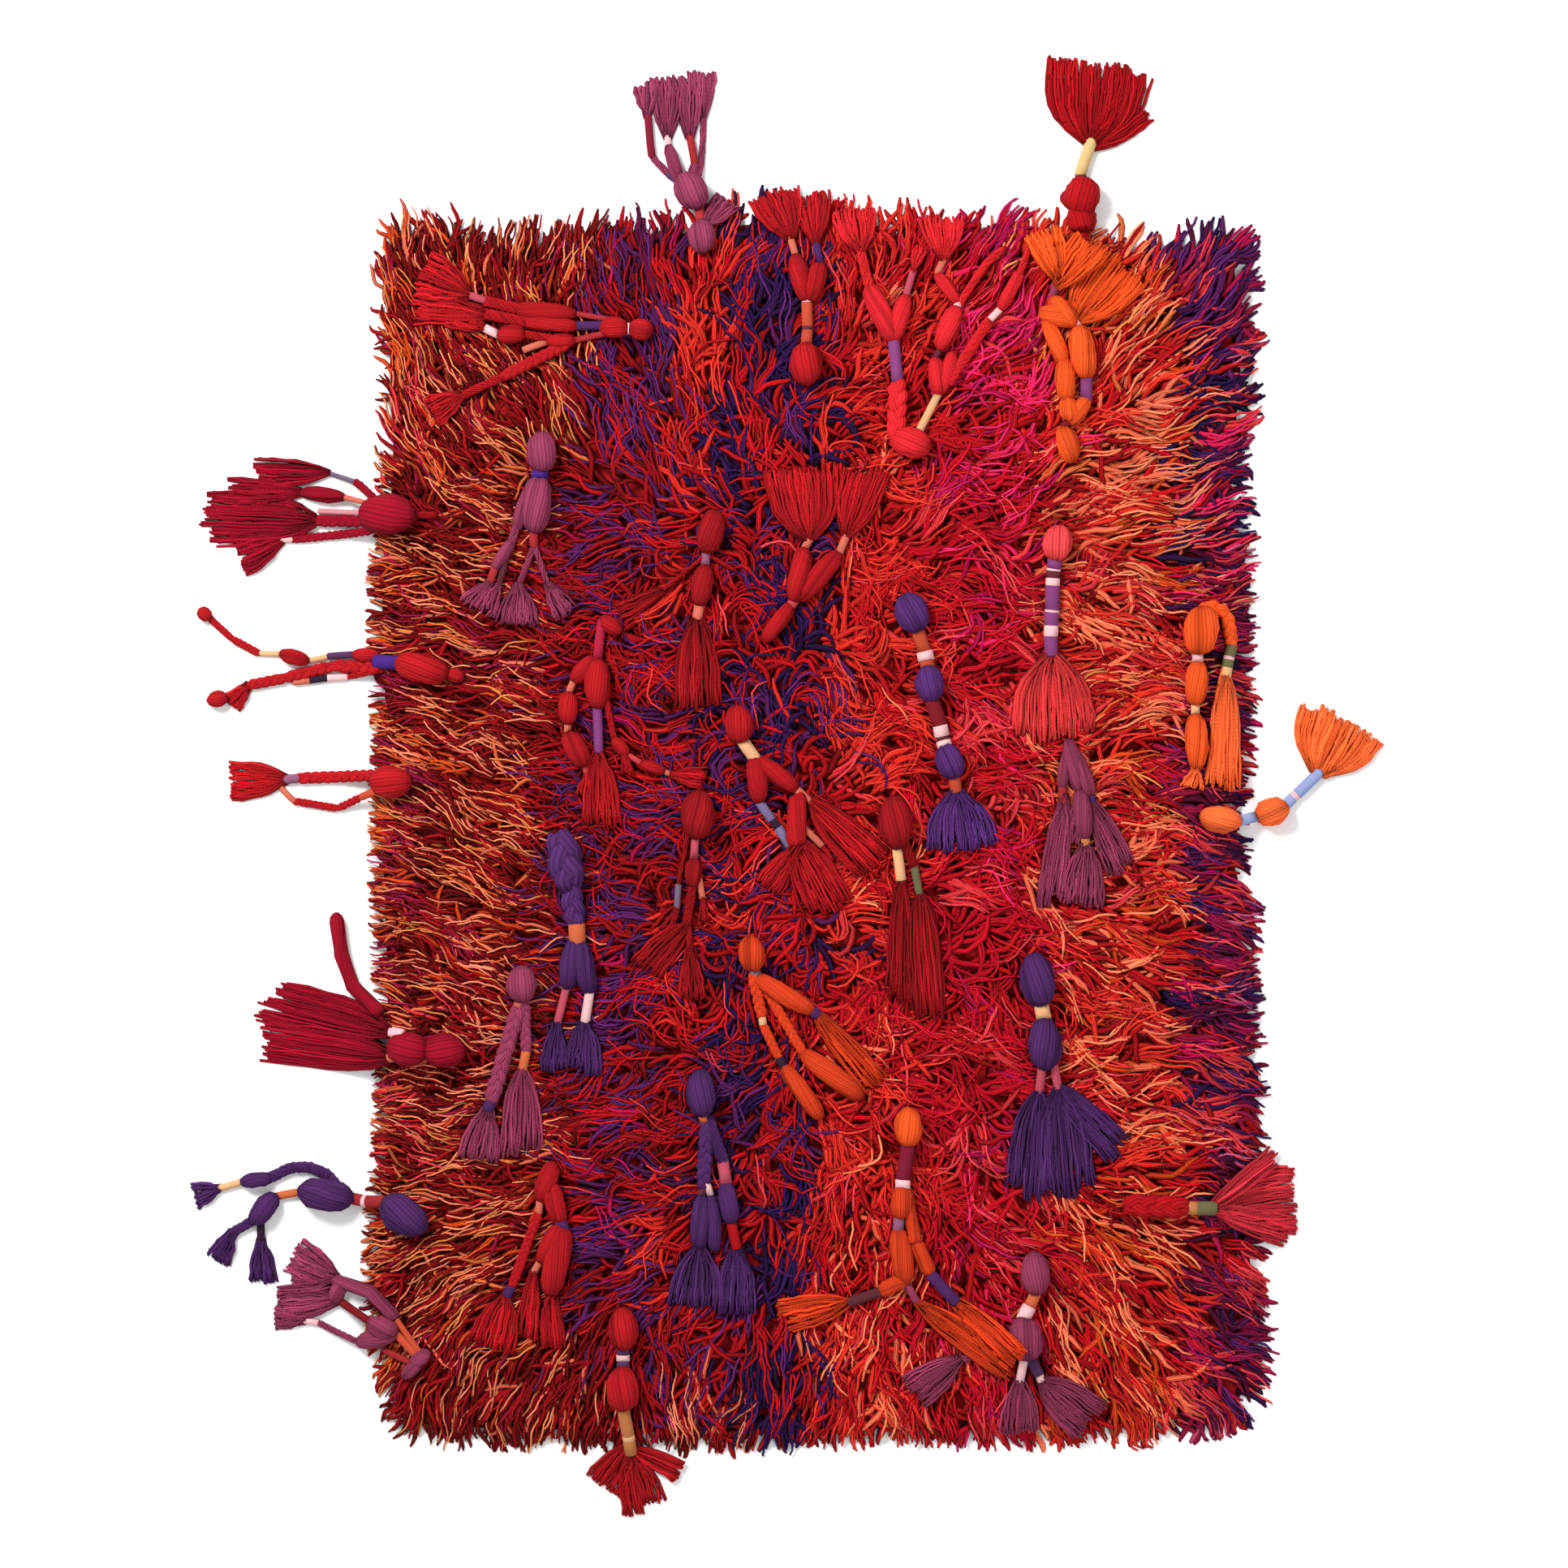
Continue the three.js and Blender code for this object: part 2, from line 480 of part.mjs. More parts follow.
function slabGeometry() {
  const across = gridSteps(WIDTH, STEPS_ACROSS);
  const down = gridSteps(LENGTH, STEPS_DOWN);
  const points = down.flatMap((v) => across.map((u) => at(
    mix(leftEdge(v), rightEdge(v), u / WIDTH),
    mix(topEdge(u), bottomEdge(u), v / LENGTH),
    pileTop(u, v),
  )));
  const [columns, rows] = [across.length, down.length];
  const triangles = [];
  for (let j = 0; j + 1 < rows; j += 1) {
    for (let i = 0; i + 1 < columns; i += 1) {
      const a = j * columns + i;
      const below = a + columns;
      triangles.push(a, below, below + 1, a, below + 1, a + 1);
    }
  }
  const rim = rimOfGrid(columns, rows);
  const floor = rim.map((k) => new THREE.Vector3(points[k].x, points[k].y, 0));
  const first = points.length;
  rim.forEach((a, k) => {
    const next = (k + 1) % rim.length;
    triangles.push(first + k, first + next, rim[next], first + k, rim[next], a);
  });
  const outline = floor.map((p) => new THREE.Vector2(p.x, p.y));
  THREE.ShapeUtils.triangulateShape(outline, []).forEach(([a, b, c]) => {
    triangles.push(first + a, first + c, first + b);
  });
  return geometryOf([...points, ...floor], triangles);
}

// Point numbers around a grid, anticlockwise from its top left corner
function rimOfGrid(columns, rows) {
  const last = columns * rows - 1;
  const rim = [];
  for (let j = 0; j + 1 < rows; j += 1) rim.push(j * columns);
  for (let i = 0; i + 1 < columns; i += 1) rim.push((rows - 1) * columns + i);
  for (let j = 0; j + 1 < rows; j += 1) rim.push(last - j * columns);
  for (let i = 0; i + 1 < columns; i += 1) rim.push(columns - 1 - i);
  return rim;
}

// One loose lock: a wedge that lies on the floor from inside the rim out to its tip
function rimLock(u, v, heading, length) {
  const away = new THREE.Vector3(Math.cos(heading), Math.sin(heading), 0);
  const side = new THREE.Vector3(-away.y, away.x, 0);
  const steps = [
    { out: -RIM_LOCK.root, wide: RIM_LOCK.wide, tall: RIM_LOCK.tall },
    { out: length, wide: RIM_LOCK.tipWide, tall: RIM_LOCK.tipTall },
  ];
  return closedSkin(openSkin(steps.map(({ out, wide, tall }) => {
    const foot = at(u, v).addScaledVector(away, out);
    return [
      foot.clone().addScaledVector(side, -wide / 2),
      foot.clone().addScaledVector(side, wide / 2),
      foot.clone().setZ(tall),
    ];
  })));
}

// Locks along all four edges, each leaning out by its own amount
function rimLocks() {
  const sides = [
    { length: LENGTH, place: (s) => [leftEdge(s), s], heading: Math.PI },
    { length: LENGTH, place: (s) => [rightEdge(s), s], heading: 0 },
    { length: WIDTH, place: (s) => [s, topEdge(s)], heading: Math.PI / 2 },
    { length: WIDTH, place: (s) => [s, bottomEdge(s)], heading: -Math.PI / 2 },
  ];
  return sides.flatMap(({ length, place, heading }, side) => {
    const count = Math.round(length / RIM_LOCK.pitch);
    return Array.from({ length: count }, (_, k) => {
      const along = (length * (k + 0.5 + RIM_LOCK.shift * (chance(k, side) - 0.5))) / count;
      const lean = THREE.MathUtils.degToRad(RIM_LOCK.lean) * (chance(k, side + 4) - 0.5);
      const reach = RIM_LOCK.shortest + RIM_LOCK.longer * chance(k, side + 8);
      return rimLock(...place(along), heading + lean, reach);
    });
  });
}

// Stations of a limb: its path in plan with how wide it is at each step
function stationsOf(start, runs) {
  const stations = [];
  let here = start;
  runs.forEach((one, k) => {
    const length = Math.hypot(one.u - here.u, one.v - here.v);
    stations.push({ u: here.u, v: here.v, wide: joinWidth(runs[k - 1], one) });
    stepsAlong(one, length).forEach(({ along, wide }) => {
      stations.push({ u: mix(here.u, one.u, along), v: mix(here.v, one.v, along), wide: wide * one.wide });
    });
    here = one;
  });
  stations.push({ u: here.u, v: here.v, wide: joinWidth(runs[runs.length - 1]) });
  return stations;
}

// Width where one run meets the next, or where a lone run closes
function joinWidth(one, next) {
  const pair = [one, next].filter(Boolean);
  const firm = pair.filter(({ kind }) => kind !== 'ball' && kind !== 'bulb');
  const narrowest = Math.min(...(firm.length ? firm : pair).map(({ wide }) => wide));
  if (firm.length) return narrowest * (pair.length === 2 ? 1 : 0.85);
  return narrowest * (pair.length === 2 ? NECK : CLOSED_END);
}

function stepsAlong({ kind, wide }, length) {
  if (SWELL[kind]) return SWELL[kind];
  if (kind === 'braid') {
    const count = 2 * Math.max(1, Math.round(length / RIDGE.pitch)) - 1;
    return Array.from({ length: count }, (_, k) => (
      { along: (k + 1) / (count + 1), wide: k % 2 ? RIDGE.waist : 1 }
    ));
  }
  const count = Math.ceil(length / Math.max(LONG_STEP, wide)) - 1;
  return Array.from({ length: count }, (_, k) => ({ along: (k + 1) / (count + 1), wide: 1 }));
}

// Corners of a round section one across, with a flat side down
function roundSection(sides) {
  return Array.from({ length: sides }, (_, k) => {
    const turn = (2 * Math.PI * (k + 0.5)) / sides - Math.PI / 2;
    return { side: Math.cos(turn) / 2, up: (SQUASH * Math.sin(turn)) / 2 };
  });
}

// Gives stations their point, their level way across and their section's corners
function addSections(stations) {
  const widest = Math.max(...stations.map(({ wide }) => wide));
  const section = roundSection(widest < WIDE_BULB ? SIDES.slim : SIDES.wide);
  stations.forEach((station, k) => {
    const before = stations[Math.max(0, k - 1)];
    const after = stations[Math.min(stations.length - 1, k + 1)];
    const way = at(after.u, after.v).sub(at(before.u, before.v)).normalize();
    station.point = at(station.u, station.v);
    station.across = new THREE.Vector3(-way.y, way.x, 0);
    station.corners = section.map(({ side, up }) => ({ side: side * station.wide, up: up * station.wide }));
  });
}

// Lowest height at which a section clears what lies below it
function clearance(terrain, point, across, corners) {
  const low = corners.filter(({ up }) => up < 0).sort((a, b) => a.side - b.side);
  let need = -Infinity;
  for (let k = 0; k + 1 < low.length; k += 1) {
    for (let part = 0; part <= 1; part += 0.5) {
      const side = mix(low[k].side, low[k + 1].side, part);
      const up = mix(low[k].up, low[k + 1].up, part);
      const spot = point.clone().addScaledVector(across, side);
      need = Math.max(need, terrain.top(spot.x, spot.y) + GAP - up);
    }
  }
  return need;
}

// Sets the heights of stations: clear of what lies below, and no steeper than SLOPE
function seat(stations, terrain, startHeight) {
  stations.forEach((station) => {
    station.point.z = clearance(terrain, station.point, station.across, station.corners);
  });
  stations[0].point.z = Math.max(stations[0].point.z, startHeight);
  const spans = stations.slice(1).map((station, k) => [stations[k], station]);
  spans.forEach((span) => liftOver(span, terrain));
  stations.forEach((station, k) => {
    const above = Math.min(...spans.filter((span) => span.includes(station)).map((span) => (
      roomBelow(station, span, terrain)
    )));
    const lowest = k === 0 ? startHeight : -Infinity;
    station.point.z = Math.max(station.point.z - Math.max(0, above), lowest);
  });
  limitFall(stations);
  limitFall([...stations].reverse());
}

// Rows along a span between two stations: how far along, and its room above what lies below
function roomAlong([a, b], terrain) {
  const parts = Math.ceil(Math.hypot(b.point.x - a.point.x, b.point.y - a.point.y) / (2 * terrain.cell));
  return Array.from({ length: parts + 1 }, (_, i) => {
    const part = i / parts;
    const point = a.point.clone().lerp(b.point, part);
    const across = a.across.clone().lerp(b.across, part).normalize();
    return { part, need: clearance(terrain, point, across, mixCorners(a, b, part)) };
  });
}

// Raises two stations so that the run between them clears what lies below it
function liftOver([a, b], terrain) {
  roomAlong([a, b], terrain).forEach(({ part, need }) => {
    const short = need - mix(a.point.z, b.point.z, part);
    if (short <= 0) return;
    const share = short / (part ** 2 + (1 - part) ** 2);
    a.point.z += share * (1 - part);
    b.point.z += share * part;
  });
}

// How far one end of a span can come down
function roomBelow(station, [a, b], terrain) {
  return Math.min(...roomAlong([a, b], terrain).map(({ part, need }) => {
    const share = station === a ? 1 - part : part;
    return (mix(a.point.z, b.point.z, part) - need) / Math.max(share, 1e-6);
  }));
}

function mixCorners(a, b, part) {
  return a.corners.map(({ side, up }, k) => (
    { side: mix(side, b.corners[k].side, part), up: mix(up, b.corners[k].up, part) }
  ));
}

function limitFall(stations) {
  for (let k = 1; k < stations.length; k += 1) {
    const [a, b] = [stations[k - 1].point, stations[k].point];
    const level = Math.hypot(b.x - a.x, b.y - a.y);
    b.z = Math.max(b.z, a.z - SLOPE * level);
  }
}

const ringOf = ({ point, across, corners }) => corners.map(({ side, up }) => (
  point.clone().addScaledVector(across, side).setZ(point.z + up)
));

// The locks of a skirt as rows of stations, each lock seated by itself
function skirtLocks(root, end, terrain) {
  const start = at(root.u, root.v);
  const way = at(end.u, end.v).sub(start);
  const length = way.length();
  way.normalize();
  const across = new THREE.Vector3(-way.y, way.x, 0);
  const count = THREE.MathUtils.clamp(Math.round(end.wide / SKIRT.lockWide), SKIRT.fewest, SKIRT.most);
  const pitch = end.wide / count;
  const steps = LOCK_STEPS.filter(({ long }) => length > SKIRT.long || !long);
  return Array.from({ length: count }, (_, k) => {
    const place = k - (count - 1) / 2;
    const short = SKIRT.uneven * chance(k, end.u) + (SKIRT.rounded * Math.abs(place)) / count;
    const stations = steps.map(({ along, spread, wide, tall }) => {
      const forward = along ? along * length * (1 - (along > SKIRT.palm) * short) : root.ahead;
      const half = (pitch * wide) / 2;
      const point = start.clone().addScaledVector(way, forward);
      point.addScaledVector(across, pitch * place * spread);
      const corners = [{ side: -half, up: -tall / 2 }, { side: half, up: -tall / 2 }];
      return { point, across, corners, half, tall };
    });
    seat(stations, terrain, root.z);
    return stations;
  });
}

// Closes an open skin with a skirt: a palm with a point between each two locks, then the
// locks. A skin with no last ring is empty, and the skirt starts by itself.
function skirtGeometry({ points, triangles, lastRing }, locks, rootWide) {
  const put = (station, aside, z = station.point.z) => {
    const spot = station.point.clone().addScaledVector(station.across, aside);
    points.push(spot.clone().setZ(z - station.tall / 2), spot.clone().setZ(z + station.tall / 2));
    return { low: points.length - 2, high: points.length - 1 };
  };
  const cover = (a, b, c) => triangles.push(a.high, b.high, c.high, a.low, c.low, b.low);
  const wall = (a, b) => triangles.push(a.low, b.low, b.high, a.low, b.high, a.high);
  const rootZ = Math.max(...locks.map(([root]) => root.point.z));
  const [right, left] = [-1, 1].map((hand) => put(locks[0][0], (hand * rootWide) / 2, rootZ));
  const palm = palmOf(locks, put);
  const middle = Math.floor(locks.length / 2);
  cover(right, palm[middle], left);
  wall(right, palm[0]);
  wall(palm[locks.length], left);
  locks.forEach((stations, k) => {
    cover(k < middle ? right : left, palm[k], palm[k + 1]);
    const sides = stations.slice(2).map((one) => [put(one, -one.half), put(one, one.half)]);
    const tip = sides.reduce(([inRight, inLeft], [outRight, outLeft]) => {
      cover(inRight, outRight, outLeft);
      cover(inRight, outLeft, inLeft);
      wall(inRight, outRight);
      wall(outLeft, inLeft);
      return [outRight, outLeft];
    }, [palm[k], palm[k + 1]]);
    wall(...tip);
  });
  if (lastRing) {
    triangles.push(...bridge(lastRing, [left.low, left.high, right.high, right.low]));
  } else {
    wall(left, right);
  }
  return geometryOf(points, triangles);
}

// Points at the palm's end: one at each side and one between each two locks
function palmOf(locks, put) {
  return Array.from({ length: locks.length + 1 }, (_, j) => {
    const beside = [locks[j - 1], locks[j]].filter(Boolean).map((lock) => lock[1]);
    if (beside.length === 1) return put(beside[0], (j === 0 ? -1 : 1) * beside[0].half);
    const point = beside[0].point.clone().lerp(beside[1].point, 0.5);
    return put({ ...beside[0], point }, 0, Math.max(...beside.map((station) => station.point.z)));
  });
}

// One tassel as a single solid
function tasselGeometry({ limbs }, terrain) {
  const seated = [];
  return fuse(limbs.flatMap((one) => limbGeometries(one, terrain, seated)));
}

// A limb starts at the height of the nearest station of the limbs before it
function limbGeometries({ u, v, runs }, terrain, seated) {
  const start = at(u, v);
  const away = (point) => Math.hypot(point.x - start.x, point.y - start.y);
  const closer = (best, point) => (away(point) < away(best) ? point : best);
  const startHeight = seated.length ? seated.reduce(closer).z : 0;
  const skirts = runs.filter(({ kind }) => kind === 'skirt');
  const firm = runs.filter(({ kind }) => kind !== 'skirt');
  if (firm.length === 0) {
    const root = { u, v, z: startHeight, ahead: 0 };
    return skirts.map((end) => looseSkirt(skirtLocks(root, end, terrain)));
  }
  const stations = stationsOf({ u, v }, firm);
  addSections(stations);
  seat(stations, terrain, startHeight);
  seated.push(...stations.map(({ point }) => point));
  const skin = openSkin(stations.map(ringOf));
  if (skirts.length === 0) return [closedSkin(skin)];
  const tip = stations[stations.length - 1];
  const root = { u: tip.u, v: tip.v, z: tip.point.z, ahead: SKIRT.ahead };
  const inside = { ...root, ahead: -SKIRT.inset };
  const [first, ...others] = skirts;
  return [
    skirtGeometry(skin, skirtLocks(root, first, terrain), tip.wide * SKIRT.rootWide),
    ...others.map((end) => looseSkirt(skirtLocks(inside, end, terrain))),
  ];
}

const looseSkirt = (locks) => skirtGeometry({ points: [], triangles: [] }, locks, SKIRT.bareRoot);

function meshOf(name, geometry, colour) {
  geometry.computeVertexNormals();
  const material = new THREE.MeshStandardMaterial({ color: colour, roughness: 0.95, metalness: 0 });
  const mesh = new THREE.Mesh(geometry, material);
  mesh.name = name;
  return mesh;
}

const rug = new THREE.Group();
const terrain = new Terrain();
const pile = fuse([slabGeometry(), ...rimLocks()]);
terrain.lay(pile);
rug.add(meshOf('rug', pile, PILE_COLOUR));
TASSELS.forEach((one) => {
  const geometry = tasselGeometry(one, terrain);
  terrain.lay(geometry);
  rug.add(meshOf(`tassel_${one.name}`, geometry, YARN[one.yarn]));
});

export default rug;
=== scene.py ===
"""A rya rug with a long lying pile and tied wool tassels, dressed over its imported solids.

Lengths are in millimetres until a mesh is made. Plan places are read from the ground's top
left corner: u goes across and v goes down. The origin is under the middle of the ground.
"""

import math
from collections import namedtuple
from functools import partial
from itertools import starmap
from types import SimpleNamespace as Named

import bpy
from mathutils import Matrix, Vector
import numpy as np


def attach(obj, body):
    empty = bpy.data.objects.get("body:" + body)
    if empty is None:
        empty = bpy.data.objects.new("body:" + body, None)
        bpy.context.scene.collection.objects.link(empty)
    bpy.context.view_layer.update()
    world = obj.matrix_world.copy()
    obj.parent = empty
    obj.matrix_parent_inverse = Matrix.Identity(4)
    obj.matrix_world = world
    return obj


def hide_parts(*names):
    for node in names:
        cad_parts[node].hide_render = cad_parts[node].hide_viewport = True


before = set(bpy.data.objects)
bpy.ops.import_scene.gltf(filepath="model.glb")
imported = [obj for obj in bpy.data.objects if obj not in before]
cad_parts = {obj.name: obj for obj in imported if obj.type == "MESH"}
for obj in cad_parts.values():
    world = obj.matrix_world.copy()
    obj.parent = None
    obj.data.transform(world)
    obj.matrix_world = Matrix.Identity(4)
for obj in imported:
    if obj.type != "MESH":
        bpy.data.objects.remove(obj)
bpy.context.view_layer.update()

MM = 0.001

# Sizes that the solids have too
WIDTH = 1075  # woven ground across
LENGTH = 1475  # woven ground down
GAP = 0.4  # clearance between a tassel and what it lies on
CELL = 2  # size of the height grid's cells
REACH = 300  # how far the height grid goes past the ground's edges

# Where each edge of the pile lies: `at` is along the edge, `out` is how far outwards it is
# past the ground's straight edge
LEFT_EDGE = Named(
    at=[0, 110, 300, 410, 510, 610, 790, 910, 1110, 1220, 1310, 1410, 1475],
    out=[-6, 0, -5, 8, 10, 3, 8, 3, 1, 14, 16, -2, -18],
)
RIGHT_EDGE = Named(
    at=[0, 60, 150, 250, 300, 350, 600, 730, 810, 1010, 1210, 1310, 1420, 1475],
    out=[-16, -12, -4, -14, -28, -14, -12, -28, -8, -2, 0, 8, 10, -16],
)
TOP_EDGE = Named(
    at=[0, 70, 150, 230, 300, 430, 520, 610, 700, 800, 880, 970, 1050, 1075],
    out=[12, 8, -4, -4, 2, 22, 30, 10, 14, 8, -4, -22, -2, -2],
)
BOTTOM_EDGE = Named(
    at=[0, 60, 230, 430, 560, 830, 930, 1030, 1075],
    out=[-6, 4, 8, 14, 6, 6, -2, -10, -26],
)

# The ground cloth: how far it lies inside the pile's outline, its thickness and its grid
GROUND = Named(inset=9, thick=1.8, lift=0.2, across=24, down=33)

# Yarns of the pile: sRGB colour, and how likely the yarn is to lie on top (1) or below (0)
Yarn = namedtuple("Yarn", "red green blue lift")
PILE_YARNS = {
    "ember": Yarn(104, 10, 10, 0.2),
    "garnet": Yarn(142, 13, 22, 0.4),
    "salmon": Yarn(211, 118, 86, 0.95),
    "gold": Yarn(198, 115, 62, 0.9),
    "rust": Yarn(190, 74, 26, 0.6),
    "wine": Yarn(136, 20, 62, 0.5),
    "violet": Yarn(80, 28, 86, 0.5),
    "indigo": Yarn(42, 18, 70, 0.4),
    "red": Yarn(168, 17, 24, 0.6),
    "flame": Yarn(200, 48, 36, 0.7),
    "amber": Yarn(230, 119, 82, 0.9),
    "crimson": Yarn(172, 12, 34, 0.55),
    "pink": Yarn(214, 34, 92, 0.8),
    "magenta": Yarn(160, 16, 76, 0.5),
    "rose": Yarn(202, 58, 64, 0.85),
    "plum": Yarn(80, 12, 52, 0.3),
    "mauve": Yarn(176, 78, 112, 0.85),
}

# Colour bands of the pile from left to right: where each starts and ends, how softly it
# fades into the next, and the shares of its yarns
Band = namedtuple("Band", "name start end soft shares")
BANDS = [
    Band("gold", -60, 36, 12, dict(gold=3.5, rust=6, garnet=2.5, ember=1, wine=1, salmon=1.8)),
    Band("ember", 30, 236, 16, dict(ember=6, garnet=6, salmon=3.2, gold=1.8, rust=1.5, wine=0.8)),
    Band("garnet", 236, 280, 12, dict(ember=5, garnet=6, red=3, salmon=0.5, violet=1.2)),
    Band("violet", 280, 370, 12, dict(violet=4.2, red=4, garnet=7, magenta=1.4, ember=2)),
    Band("flame", 370, 430, 6, dict(flame=1.2, red=6, garnet=5, violet=1.5)),
    Band("indigo", 430, 538, 10, dict(indigo=7, violet=3, red=5, garnet=4, rose=0.6, flame=0.2)),
    Band("orange", 538, 642, 16, dict(flame=8, red=6, garnet=0.6, amber=0.8, rose=1)),
    Band("scarlet", 642, 700, 16, dict(red=7, flame=3, crimson=4, rose=1)),
    Band("crimson", 700, 790, 14, dict(crimson=7, magenta=1.2, red=3, rose=3, pink=1)),
    Band("amber", 790, 962, 12, dict(amber=6, flame=5, rust=2, garnet=2, red=4, gold=0.6)),
    Band("wine", 962, 1160, 10, dict(
        wine=4.5, plum=3, indigo=2.4, red=2, rose=3.6, violet=1.6, magenta=1.6, mauve=1,
    )),
]
BAND_DRIFT = Named(far=7, long=120)
BAND_EDGE = 0.4  # how quickly a band fades, for its softness

# Patches where one more yarn is mixed in: middle, half sizes and how strongly, of which
# PATCHED is taken
PATCHED = 0.5
Patch = namedtuple("Patch", "u v across down share")
PATCHES = {
    "pink": [(742, 190, 60, 80, 3.0), (728, 330, 60, 60, 0.8), (1030, 330, 70, 120, 0.7)],
    "magenta": [(700, 300, 50, 90, 0.8), (740, 20, 60, 60, 1.2)],
    "rose": [(40, 250, 40, 90, 0.6), (60, 1090, 60, 120, 0.7), (900, 700, 60, 300, 0.4)],
    "wine": [(45, 800, 40, 220, 0.8)],
    "gold": [(180, 250, 80, 110, 0.7), (130, 1180, 110, 120, 0.4), (860, 90, 90, 80, 0.8)],
    "rust": [(20, 760, 40, 120, 0.8)],
    "flame": [(400, 170, 19, 125, 7.0), (365, 1205, 45, 70, 0.8), (470, 800, 80, 60, 0.8)],
    "indigo": [
        (480, 190, 46, 170, 1.8), (450, 0, 45, 90, 1.4), (1000, 230, 40, 120, 1.0),
        (470, 1400, 60, 70, 0.8),
    ],
    "violet": [
        (320, 170, 50, 200, 0.9), (1010, 80, 50, 110, 1.2), (300, 900, 70, 200, 0.8),
        (470, 640, 90, 130, 0.6), (320, 1250, 60, 60, 1.4),
    ],
    "plum": [(330, 10, 60, 80, 1.6)],
    "ember": [(130, 10, 120, 60, 1.2), (250, 1472, 280, 28, 3.0), (150, 0, 120, 30, 1.5)],
    "red": [(455, 560, 45, 340, 1.3)],
    "amber": [(868, 490, 50, 80, 0.7), (620, 1330, 80, 90, 0.8)],
    "salmon": [
        (120, 950, 90, 300, 0.6), (940, 330, 60, 160, 0.8), (300, 1420, 110, 50, 0.5),
        (400, 1415, 55, 50, 1.4),
    ],
    "garnet": [(200, 1400, 190, 60, 1.0)],
    "crimson": [(660, 960, 70, 200, 1.0)],
}

# Heading of the pile in degrees at a grid of places: 0 lies to the right, 90 down the plan,
# 180 to the left and -90 up
HEADINGS = Named(
    u=[60, 150, 300, 400, 480, 600, 740, 860, 1000],
    rows=[
        (-10, [-100, -85, -90, -92, -84, -85, -72, -60, -60]),
        (60, [-110, -95, -92, -95, -82, -72, -62, -50, -48]),
        (150, [-120, -120, -112, -90, -76, -45, -50, -40, -30]),
        (260, [-135, -138, -125, -88, -110, -10, -15, -12, -16]),
        (340, [-150, -155, -180, -150, -140, 0, -5, -4, -6]),
        (430, [-172, -178, 178, 150, -90, 10, 5, 0, 2]),
        (600, [-165, -160, -155, 170, -120, 20, 15, 5, 8]),
        (780, [-160, -158, -178, 180, 160, 35, 25, 8, 10]),
        (950, [-168, -165, 172, 165, 120, 60, 40, 12, 8]),
        (1130, [-180, -176, 178, 150, 110, 80, 60, 12, 12]),
        (1270, [163, 160, 160, 130, 100, 95, 70, 42, 24]),
        (1390, [130, 118, 105, 98, 95, 90, 80, 58, 30]),
        (1470, [120, 95, 90, 90, 90, 88, 85, 75, 55]),
    ],
)

# How the pile strays from its heading, in degrees where it is a turn. `sway` is how far slow
# waves bend it, `stray` how far each lock strays, and `apart` each yarn in a lock. `meet` is
# how far the outer yarns of a lock turn in towards its tip. `wild` numbers are added in the
# unruly middle.
FLOW = {
    "u": 600, "v": 780, "sway": 7, "long": 260, "wild_sway": 24, "wild_long": 150,
    "ripple": 10, "ripple_long": 76, "stray": 5, "wild_stray": 18, "apart": 1.2,
    "wild_apart": 2.5, "meet": 2, "curl": 12, "wild_curl": 55, "wave": 14,
    "wave_short": 34, "wave_long": 58, "wave_apart": (0.97, 1.03), "phase_apart": 0.12,
}
UNRULY = Named(u=560, v=740, across=320, down=590, power=1.5)
WAVES = Named(count=6, long=(0.75, 1.35), phase=6.3)  # how slow waves differ

# Locks of pile: distance apart, how far in from the outline they root, how wide one spreads,
# where each of its yarns stands in it, how far its roots lie to and fro, how far its size takes
# to grow from a rim, how far past each rim tips may reach, and how likely a yarn is to keep the
# lock's dye from left to right
LOCK = Named(pitch=22.6, inset=12, spread=0.85, rank=(0.4, 0.2), back=0.6, rim=60)
CROWD = Named(share=(0, 0.285, 1), u=(0, 236, WIDTH))  # locks are closer on the left
RIM_SIZE = 0.9  # size of the yarns that root at the rim
RIM_CURL = 0.3  # how strongly those curl
OVER_RIM = 0.2  # least share of a yarn's way that heads over a rim for the rim to hold it
OVERHANG = {"left": (2, 12), "right": (4, 24), "top": (8, 38), "bottom": (2, 20)}
SHORTEST = 24  # least length of a yarn that a rim cuts back
DRAWN_IN = 0.3  # how much of its way past that a tip keeps
LOYAL = Named(u=(220, 290, 430, 470), share=(0.35, 0.6, 0.6, 0.9))
CLUMP = Named(long=80, strong=1.1, weak=0.4, own=0.6)  # patches of one dye, against chance
LIFTED = Named(least=0.45, more=1.1, most=1.55)  # how much likelier bright yarns are on top
# How much yarns differ in tone, and how deep in painted shade they are along their length,
# darkest at the root
PILE_TONE = Named(stray=0.19, at=[0, 0.1, 0.3, 1], shade=[0.42, 0.68, 0.94, 1.05])
FINE = Named(  # how much finer yarns are on the left, and how much likelier dark ones are below
    u=(30, 70, 200, 290, 430, 470), size=(0.72, 0.74, 0.78, 0.9, 0.9, 1),
    length=(0.76, 0.76, 0.8, 0.95, 0.95, 1), low=(1, 1.9, 1.9, 1, 1, 1),
)

# A layer's yarns run from their root up to between `shallow` and `deep` under the pile's
# top. `cover` is which of the pile's materials they have, `yarns` how many a lock has, and
# `cross` how far, in degrees, each of those strays to fill gaps.
# `shade` scales a layer's dyes as painted light and shade: the top layer a little lighter, the lower
# ones darker as if in shade.
Layer = namedtuple("Layer", "cover yarns steps radius shortest longest shallow deep shade cross")
LAYERS = [
    Layer(0, 2, 8, 1.95, 58, 92, shallow=-2.0, deep=2.0, shade=1.05, cross=(0, 0)),
    Layer(1, 4, 7, 4.4, 54, 86, shallow=-0.5, deep=6.5, shade=0.58, cross=(40, 10, 25, 10)),
    Layer(1, 2, 7, 4.4, 50, 66, shallow=0.5, deep=6.5, shade=0.58, cross=(6, 12)),
]
